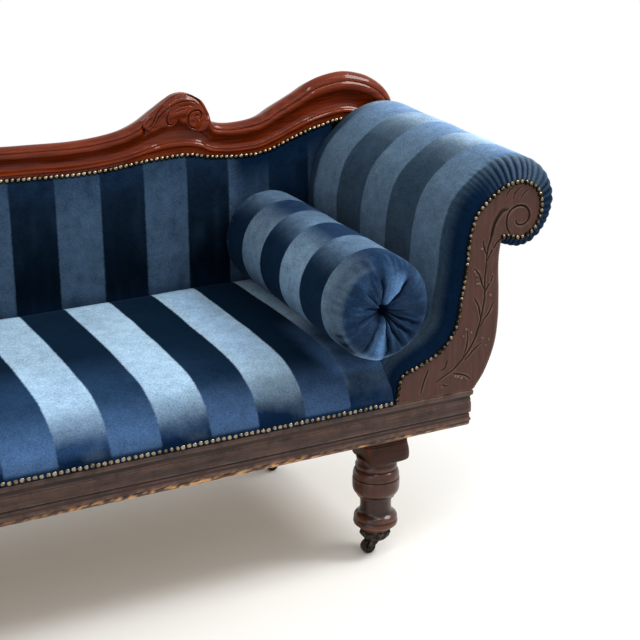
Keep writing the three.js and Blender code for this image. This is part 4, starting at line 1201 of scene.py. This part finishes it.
def endFolds(radius, angle, onEnds):
    # How far each point of an end is pushed out by its folds, and the painted sheen and shade on them
    push, gloss = np.zeros_like(radius), np.zeros_like(radius)
    bent = roundRoll(angle, 60, radius)
    wander = 5 * ripple(*bent, 30, 83) + 3 * ripple(*bent, 13, 84)
    degrees = np.degrees(angle) + wander * ease(8, 40, radius)
    for at, twist, wide, high, near, far, bright, side in bolster["folds"]:
        off = (degrees - (at + twist * (radius / 60 - 1)) + 180) % 360 - 180
        across = off / (wide * (0.55 + 0.45 * ease(0, 50, radius)))
        shape = band(-1.1, 0.75, 0.75, 1.05, -across * side) if side else np.exp(-np.abs(across) ** 2.6)
        shape = shape * band(near - 5, near + 9, far - 22, far + 8, radius)
        push += high * shape
        gloss += bright * shape
    push += 1.6 * ripple(*roundRoll(angle, 130, radius * 0.3), 17, 89) * band(10, 30, 70, 100, radius)
    gloss += 0.22 * ripple(*roundRoll(angle, 90, radius * 0.25), 9, 91) * ease(10, 30, radius)
    return push * onEnds, gloss * onEnds


def makeBolster():
    # Rings from the sunk centre of the front end, round its rim, along the roll and in again at the rear
    radius, rim, count = bolster["radius"], bolster["rim"], bolster["sides"]
    frontY, rearY, sink = bolster["frontY"], bolster["rearY"], bolster["sink"]
    bend = np.linspace(0, quarterTurn, 12)
    endRadius = np.concatenate([[0.5, 3, 5, 8, 12, 17, 23], between(30, radius - rim - 3, 5.5)])
    endIn = along(bolster["sinkShares"], endRadius) * sink
    rimRadius, rimIn = radius - rim + rim * np.sin(bend), rim - rim * np.cos(bend)
    length = rearY - frontY
    straight = between(rim + 7, length - rim - 7, 8)
    r = np.concatenate([endRadius, rimRadius, 0 * straight + radius, rimRadius[::-1], endRadius[::-1]])
    y = np.concatenate([endIn, rimIn, straight, length - rimIn[::-1], length - endIn[::-1]])
    angle, reach = np.meshgrid(circle(count), r)
    run = np.repeat(y[:, None], count, axis=1)
    fromEnd = np.minimum(run, length - run)
    onEnds = fromEnd < sink + 4
    push, gloss = endFolds(reach, angle, onEnds)
    offEnd = np.where(onEnds, ease(radius - rim - 4, radius + 1, reach), 1)
    spill = np.clip(push, 0, 4) * 0.35 * fade(10, 60, fromEnd) * offEnd
    wrinkle = ripple(*roundRoll(angle, radius * 1.6, run * 0.5), 40, 87) * fade(10, 110, fromEnd)
    soft = ripple(*roundRoll(angle, radius, run), 95, 85) * 2.0 + wrinkle
    reach = reach + (soft + spill) * ease(radius - rim, radius, reach) - 1.5
    front = run < length / 2
    run = np.clip(np.where(front, run - push, run + push), 0.2, length - 0.2)
    share = run / length
    startX, startZ = bolster["frontX"], bolster["frontZ"]
    xs = startX + (bolster["rearX"] - startX) * share + reach * np.cos(angle)
    zs = startZ + (bolster["rearZ"] - startZ) * share + np.maximum(reach * np.sin(angle), 1.5 - radius)
    ys = frontY + run
    points = grid(xs, ys, zs).reshape(-1, 3)
    middles = [(ring[:, 0].mean(), at, ring[:, 2].mean()) for ring, at in (
        (points[:count], frontY + sink - 1), (points[-count:], rearY - sink + 1))]
    degrees = np.degrees(angle)
    # Painted light: stripe tones swapped over the top and head side of the roll and on its ends, a painted
    # sheen; painted shade in the sunk centre, on the ends, underneath, on the front side and towards the rear
    pile = np.where(degrees < 270, fade(94, 148, degrees + 3 * soft), ease(280, 330, degrees))
    stripe = (ys - bolster["stripeFrom"]) / couch["stripe"]
    stripe = np.where(fromEnd < 60, np.where(front, -0.5, 4.5), stripe)
    facesOut = 1 - ease(radius - 26, radius - 4, reach) * ease(2, 20, fromEnd)
    facesOut = np.where(fromEnd < 40, facesOut, 0)
    deep = np.clip(-gloss, 0, 0.8) + 0.85 * fade(6, 16, reach) * (fromEnd < 40)
    deep = deep + facesOut * (0.3 + 0.2 * ease(-40, 10, 50 - np.abs(degrees - 330)))
    deep = deep + 0.3 * band(185, 215, 300, 330, degrees) * (fromEnd > 12)
    sideBand = band(85, 120, 225, 245, degrees) * fade(76, 88, fromEnd)
    deep = deep + (0.62 - 0.26 * ease(20, 80, fromEnd)) * sideBand * front * (1 - facesOut)
    deep = np.clip(deep + 0.26 * ease(250, 400, run), 0, 1)
    values = {key: np.append(value, [middle, middle]) for key, value, middle in (
        ("stripe", stripe, -0.5), ("turned", np.maximum(pile, facesOut), 0.0),
        ("paintedSheen", np.clip(gloss, 0, 1) + 0.05 * facesOut, 0.0), ("deep", deep, 1.0))}
    piece = closedObject("bolster_roll", np.vstack([points, middles]), tubeFaces(len(r), count), values, 70)
    low, heart, rear = bolster["held"]
    settle(piece, lambda x, y, z: (z < startZ - low) | (y > rearY - rear) | (
        np.hypot(x - startX - 13, z - startZ - 5) < heart), 14.0, 2.5)
    finishPiece(piece, ("bolster",), "bolsterVelvet", "bolster")


makeBolster()
print("bolster made")


# Nails with domed heads, set one by one

nails = {
    "width": 11.1,
    "pitch": 11.5,
    "rise": 4.0,
    "sides": 12,
    "jitter": 0.35,
    # from the rim to the crown: share of the radius, share of the rise
    "dome": ((1.0, 0.0), (0.97, 0.22), (0.84, 0.52), (0.6, 0.79), (0.3, 0.95)),
}


def nailRow(name, line, out, node, seed, lift=0.0):
    # One dome on each place of a line of points; out is the unit vector that the heads look along
    places = evenly(line, int(lengthOf(line) / nails["pitch"]) + 1)
    radius, sides, rows = nails["width"] / 2, nails["sides"], len(nails["dome"])
    share, rise = (np.repeat(v, sides)[:, None] for v in np.transpose(nails["dome"]))
    angle = np.tile(circle(sides), rows)[:, None]
    out = np.array(out, float)
    side = np.cross(out, [0, 0, 1])
    up = np.cross(side, out)
    flat = (side * np.cos(angle) + up * np.sin(angle)) * radius * share
    # Painted highlight on the upper crown of each head, painted shade round its rim and lower half
    level = 1.5 * rise - 1.2 + 0.7 * share * np.sin(angle)
    points, faces, tone = [], [], []
    rng = np.random.default_rng(seed)
    for centre in places:
        faces += tubeFaces(rows, sides, len(tone), (1, 0))
        centre = centre + (side * rng.normal() + up * rng.normal()) * nails["jitter"]
        lean = side * rng.normal() * 0.06 + up * rng.normal() * 0.06
        light = rng.uniform(-0.12, 0.14) + lift
        points += [centre + flat + out * (nails["rise"] * rise + (flat @ lean)[:, None]),
                   [centre + out * nails["rise"], centre]]
        tone += [*(light + level.ravel()), light + 0.3, -1.0]
    piece = closedObject(name, np.vstack(points), faces, {"tone": tone}, 60)
    finishPiece(piece, (node,), "brass")


def makeNails():
    z, ahead = railTop + 5.4, (0, -1, 0)
    nailRow("seat_front_nail_row", [(-854, -0.7, z), (576, -0.7, z)], ahead, "seat_front_nails", 1)
    nailRow("seat_foot_nail_row", [(-860.7, 6, z), (-860.7, 538, z)], (-1, 0, 0), "seat_foot_nails", 2)
    inner = armInner(400)
    inner = (inner + normalsOf(inner) * 0.5)[(inner[:, 1] > 362) | (np.arange(400) > 60)]
    nailRow("arm_nail_row", grid(inner[:, 0], -0.6, inner[:, 1]), ahead, "arm_nails", 3, -0.42)
    lower = crestLine("lower", np.linspace(0, 0.975, 900))
    lower = lower - normalsOf(lower)
    lower = lower[lower[:, 1] > seatHeight(-600, 540) + railTop + 14]
    nailRow("crest_nail_row", grid(lower[:, 0], 549.2, lower[:, 1]), ahead, "crest_nails", 4, -0.2)


makeNails()
print("nails made")


# Legs

leg = {
    "places": {"front_foot": (-678, 73), "front_head": (588, 73), "back_foot": (-678, 527),
    "back_head": (588, 527)},
    "profile": ((0, 219.7), (30, 219.7), (38.4, 219.4), (40.8, 217.6), (41.4, 214.6), (40.6, 211.6),
                (39.4, 208.6),
                (39.2, 205.6), (40.2, 203.2), (42, 201), (42.9, 198.4), (42.8, 195.8), (41.8, 193.6),
                (40.9, 192.2), (41.2, 191), (43, 189.8), (45, 187), (46.4, 183.4), (47.3, 179.4),
                (47.6, 175.8),
                (47, 173.4), (46, 172), (46.2, 171), (47.6, 170.4), (48.3, 169), (48.5, 166), (48.5, 158),
                (48.3, 151),
                (47.8, 146.6), (46.4, 142.4), (43.8, 138.4), (41, 135.2), (39.4, 133.4), (38.6, 131.6),
                (38.8, 130.4),
                (36.8, 129.4), (34, 128.4), (32.9, 126), (32.3, 121), (32, 114), (32, 107), (32.6, 100.6),
                (33.8, 96), (36, 92.8), (39.2, 90.8), (42.4, 88.2), (44.4, 84.6), (44.8, 82), (44.2, 80),
                (43.4, 78.9), (44.2, 77.6), (45.7, 74.6), (46, 70.6), (45, 67.4), (41.8, 64.4), (38, 62.4),
                (35, 61.2), (33.6, 60), (33.8, 58.8), (32.4, 57.4), (30.4, 56.4), (30.6, 55.2), (30.2, 54),
                (29.4, 53), (29.4, 51.6), (29.2, 49), (28.8, 45), (28, 42.2), (0, 42.2)),
    "sides": 72,
}

block = {
    # height, reach toward the couch's end, reach toward its middle, reach to front and back
    "profile": ((271.7, 49, 48, 49.5), (262.5, 49.4, 48, 49.8), (261.2, 49, 47.6, 49.4),
                (260.4, 47.2, 45.8, 47.6),
                (259, 49, 47.6, 49.4), (256.8, 49.4, 47.6, 49.6), (256, 47.6, 45.8, 48),
                (255, 49.4, 47.4, 49.4),
                (251, 50.4, 47.2, 49.8), (246, 51.8, 46, 50), (240, 53.4, 44, 50), (234, 54.8, 41.8, 49.6),
                (228, 55.8, 39.4, 48.8), (222, 56.2, 37, 47.6), (217, 56, 35.4, 46.6),
                (214.4, 55, 34.4, 45.6),
                (212.8, 53, 33, 44)),
    "corner": 9,
    "sides": 72,
}

castor = {
    # outside of the cup around the foot: radius and height, then its hollow over the swivel
    "cup": ((0, 52), (29.6, 52.6), (31, 52.2), (31.6, 50.4), (31.2, 47), (30.4, 43.5), (29, 40),
            (27, 36.6), (24.8, 34),
            (22.6, 32), (20.4, 31.6), (18.6, 31.8), (18.4, 38.4), (0, 38.6)),
    "crust": 3.2,
    "wheel": ((0, 0.62), (0.2, 0.62), (0.26, 0.9), (0.36, 0.9), (0.4, 0.56), (0.6, 0.5), (0.74, 0.56),
              (0.8, 0.94),
              (0.88, 1.0), (0.95, 0.92), (0.985, 0.66), (1.0, 0.3), (1.0, 0)),
}


def makeCastor(name, x, y):
    def crust(rings):
        places = np.moveaxis(rings, -1, 0)
        across, deep, high = places
        rough = ripple(*places, 8, 95) + 0.6 * ripple(*places, 3.4, 96)
        outside = ease(24, 29, np.hypot(across, deep))
        swell = 1 + rough * castor["crust"] * outside / 32
        return grid(across * swell, deep * swell, high + 2.2 * rough * outside * ease(44, 50, high))

    cup = turned(name + "_castor_cup", castor["cup"], 96, (x, y, 0), crust)
    finishPiece(cup, (name + "_castor_plate",), "castorIron")
    low, high = boxOf(name + "_castor_wheel")
    _, half, radius = (high - low) / 2
    table = np.array(castor["wheel"]) * (radius, half)
    profile = np.vstack([table, table[-2::-1] * (1, -1)]) * (1, -1)
    wheel = turned(name + "_castor_roller", profile, 60, (0, 0, 0))
    placed = (pointsOf(wheel.data) * metre - origin)[:, [0, 2, 1]] + (low + high) / 2
    wheel.data.vertices.foreach_set("co", ((placed + origin) / metre).ravel())
    outward(wheel)
    finishPiece(wheel, (name + "_castor_wheel",), "castorIron", name + "_wheel")


def makeBlock(name, x, y):
    power, angle = block["corner"], circle(block["sides"])
    shape = (np.abs(np.cos(angle)) ** power + np.abs(np.sin(angle)) ** power) ** (-1 / power)
    across, deep = shape * np.cos(angle), shape * np.sin(angle)
    z, far, near, side = np.hsplit(np.array(block["profile"]), 4)
    reach = np.where(across * x > 0, far, near)
    bulge = (2.2 * (1 - across ** 2) - 2.2) * (z < 262)
    rings = grid(x + reach * across, y + (side + bulge) * deep, z)
    points = np.vstack([rings.reshape(-1, 3), [[x, y, z.max()], [x, y, z.min()]]])
    piece = closedObject(name + "_shaped_block", points, tubeFaces(len(z), block["sides"]))
    markWear(piece, 2, 1.2)
    finishPiece(piece, (name + "_block",), "blockWood")


def makeLegs():
    for name, (x, y) in leg["places"].items():
        piece = turned(name + "_turned_leg", leg["profile"], leg["sides"], (x, y, 0))
        markWear(piece, 2, 1.5, "upright")
        finishPiece(piece, (name + "_leg",), "turnedWood")
        makeBlock(name, x, y)
        makeCastor(name, x, y)


makeLegs()
print("legs made")


# Cloth tacked over the outside of the arm, the outside of the back and the underside

cover = {
    "thick": 1.5,
    "inset": 0.8,
    "step": 14,
    "lap": 4,
    "armSpan": (28.5, 598),
    "footX": -600.5,
    "headX": 822,
    "bottom": 351.8,
    "faces": (599.6, 598.3),
    "under": ((-847, 757), (12.5, 587.5)),
    "underZ": (270.3, 271.6),
    "sag": 5,
}


def makeArmCover():
    line = smoothLine(arm["outer"], 200, 60)
    out = normalsOf(line)
    lineX, lineZ, outX, outZ = np.hsplit(np.hstack([line, out * np.sign(out[:, 0].mean())]), 4)
    low, high = cover["armSpan"]
    ys = np.repeat(between(low, high, cover["step"])[None, :], len(line), axis=0)
    share = np.linspace(0, 1, len(line))[:, None]
    hollow = 3.0 * np.sin(math.pi * share) * np.sin(math.pi * (ys - low) / (high - low))
    tug = 0.5 * ripple(ys, 0, share * 400, 26, 101) * fade(0, 40, np.minimum(ys - low, high - ys))
    depth = cover["inset"] + hollow + tug + 0.5
    outer, inner = (grid(lineX - outX * d, ys, lineZ - outZ * d) for d in (depth, depth + cover["thick"]))
    piece = slab("arm_outside_cover", outer, inner, {"stripe": armStripe(ys)})
    finishPiece(piece, ("outside_arm_cover",), "coverVelvet")


def makeBackCover():
    foot, bottom, step = cover["footX"], cover["bottom"], cover["step"]
    side = smoothLine(arm["outer"], 200, 34)[::-1]
    side = side[side[:, 1] > bottom] - (1.2, 0)
    lower = crestLine("lower", np.linspace(0.04, 0.93, 300))
    over = evenly(lower[lower[:, 0] > foot + 4] + (0, cover["lap"]), 110)[::-1]
    over = over[over[:, 0] < cover["headX"]]
    ring = np.vstack([[(x, bottom) for x in between(foot, 766, step)], side[:-1], over,
                      [(foot, z) for z in between(over[-1, 1] - 10, 362, step)]])

    def billow(places):
        away, _ = distanceTo(places, np.vstack([ring, ring[:1]]))
        pulls = ripple(places[:, 0], 0, places[:, 1], 30, 103)
        return -1.6 * ease(0, 90, away) - 0.5 * pulls * band(0, 4, 4, 46, away), 0 * away

    piece = carvedBoard("back_outside_cover", ring, step, *cover["faces"], billow, 60)
    setLayer(piece.data, "stripe", (pointsOf(piece.data)[:, 0] * metre - origin[0]) / couch["stripe"])
    finishPiece(piece, ("outside_back_cover",), "coverVelvet")


def makeDustCover():
    (lowX, highX), (lowY, highY) = cover["under"]
    xs, ys = np.meshgrid(between(lowX, highX, 20), between(lowY, highY, 20), indexing="ij")
    dish = np.sin(math.pi * (xs - lowX) / (highX - lowX)) * np.sin(math.pi * (ys - lowY) / (highY - lowY))
    sag = cover["sag"] * dish ** 0.7
    sag = sag + 0.4 * ripple(xs, ys, 0, 60, 107) * np.minimum(sag, 1)
    piece = slab("under_dust_cover", *(grid(xs, ys, z - sag) for z in cover["underZ"]))
    finishPiece(piece, ("dust_cover",), "hessian")


makeArmCover()
makeBackCover()
makeDustCover()
print("covers made")


# CAD pieces that keep their own shape

keptPieces = {
    "wornWood": ("back_seat_rail", "arm_rear_board", "head_stile"),
    "frameWood": ("foot_cross_rail", "middle_cross_rail", "head_cross_rail", "arm_base_rail", "arm_roll_rail",
                  "foot_stile", "low_stile", "middle_stile"),
    "hessian": ("seat_webbing", "back_webbing", "arm_webbing"),
    "castorIron": [f"{name}_castor_{part}" for name in leg["places"] for part in ("horn", "axle")],
}


def dressCad():
    for key, names in keptPieces.items():
        for name in names:
            worn = bpy.data.objects[name].data.materials
            worn.clear()
            worn.append(materials[key])


dressCad()
print("CAD pieces dressed")


# Floor and light

room = {
    "size": 24,
    "floor": (246, 245, 242),
    "world": 0.6,
    "nearWhite": 0.9,
    "farWhite": 2.4,
}


def seenRays(tree):
    # 1 for rays from the camera, straight or by way of a mirror or glass
    path = put(tree, "ShaderNodeLightPath").outputs
    seen = maths(tree, "MAXIMUM", path["Is Camera Ray"], path["Is Glossy Ray"])
    return maths(tree, "MAXIMUM", seen, path["Is Transmission Ray"])


def paperFloor():
    # Pale paper near the couch that keeps its shadow, plain white farther off
    material = bpy.data.materials.new("floor_paper")
    material.use_nodes = True
    tree = material.node_tree
    tree.nodes.clear()
    diffuse = put(tree, "ShaderNodeBsdfDiffuse", {"Color": shade(*room["floor"])})
    glow = put(tree, "ShaderNodeEmission", {"Color": white, "Strength": 1.0})
    place = put(tree, "ShaderNodeTexCoord").outputs["Object"]
    away = put(tree, "ShaderNodeVectorMath", {0: place}, operation="LENGTH").outputs["Value"]
    share = times(tree, spread(tree, away, room["nearWhite"], room["farWhite"]), seenRays(tree))
    both = put(tree, "ShaderNodeMixShader", {0: share, 1: diffuse.outputs[0], 2: glow.outputs[0]})
    put(tree, "ShaderNodeOutputMaterial", {0: both.outputs[0]})
    return material


def makeRoom():
    half = room["size"] / 2
    mesh = bpy.data.meshes.new("floor")
    mesh.from_pydata([(-half, -half, 0), (half, -half, 0), (half, half, 0), (-half, half, 0)], [],
                     [(0, 1, 2, 3)])
    mesh.materials.append(paperFloor())
    addObject("floor", mesh)
    world = bpy.data.worlds.new("studio")
    bpy.context.scene.world = world
    world.use_nodes = True
    tree = world.node_tree
    tree.nodes.clear()
    strength = maths(tree, "MULTIPLY_ADD", seenRays(tree), 1.0 - room["world"], room["world"])
    sky = put(tree, "ShaderNodeBackground", {"Color": white, "Strength": strength})
    put(tree, "ShaderNodeOutputWorld", {0: sky.outputs[0]})


lamps = {
    "key": {"at": (2.7, -0.9, 2.9), "size": (1.3, 1.3), "power": 94},
    "fill": {"at": (-2.8, -2.4, 2.0), "size": (2.6, 2.6), "power": 18},
    "strip": {"at": (0.5, -1.1, 2.7), "size": (2.4, 0.12), "power": 14},
}


def makeLamps():
    for name, lamp in lamps.items():
        data = bpy.data.lights.new(name, "AREA")
        data.shape = "RECTANGLE"
        data.size, data.size_y = lamp["size"]
        data.energy = lamp["power"]
        light = addObject(name, data)
        light.location = lamp["at"]
        aim = Vector((0, 0, 0.45)) - Vector(lamp["at"])
        light.rotation_euler = aim.to_track_quat("-Z", "Y").to_euler()


makeRoom()
makeLamps()
bpy.context.scene.view_settings.view_transform = "Standard"
print("room and lamps made")
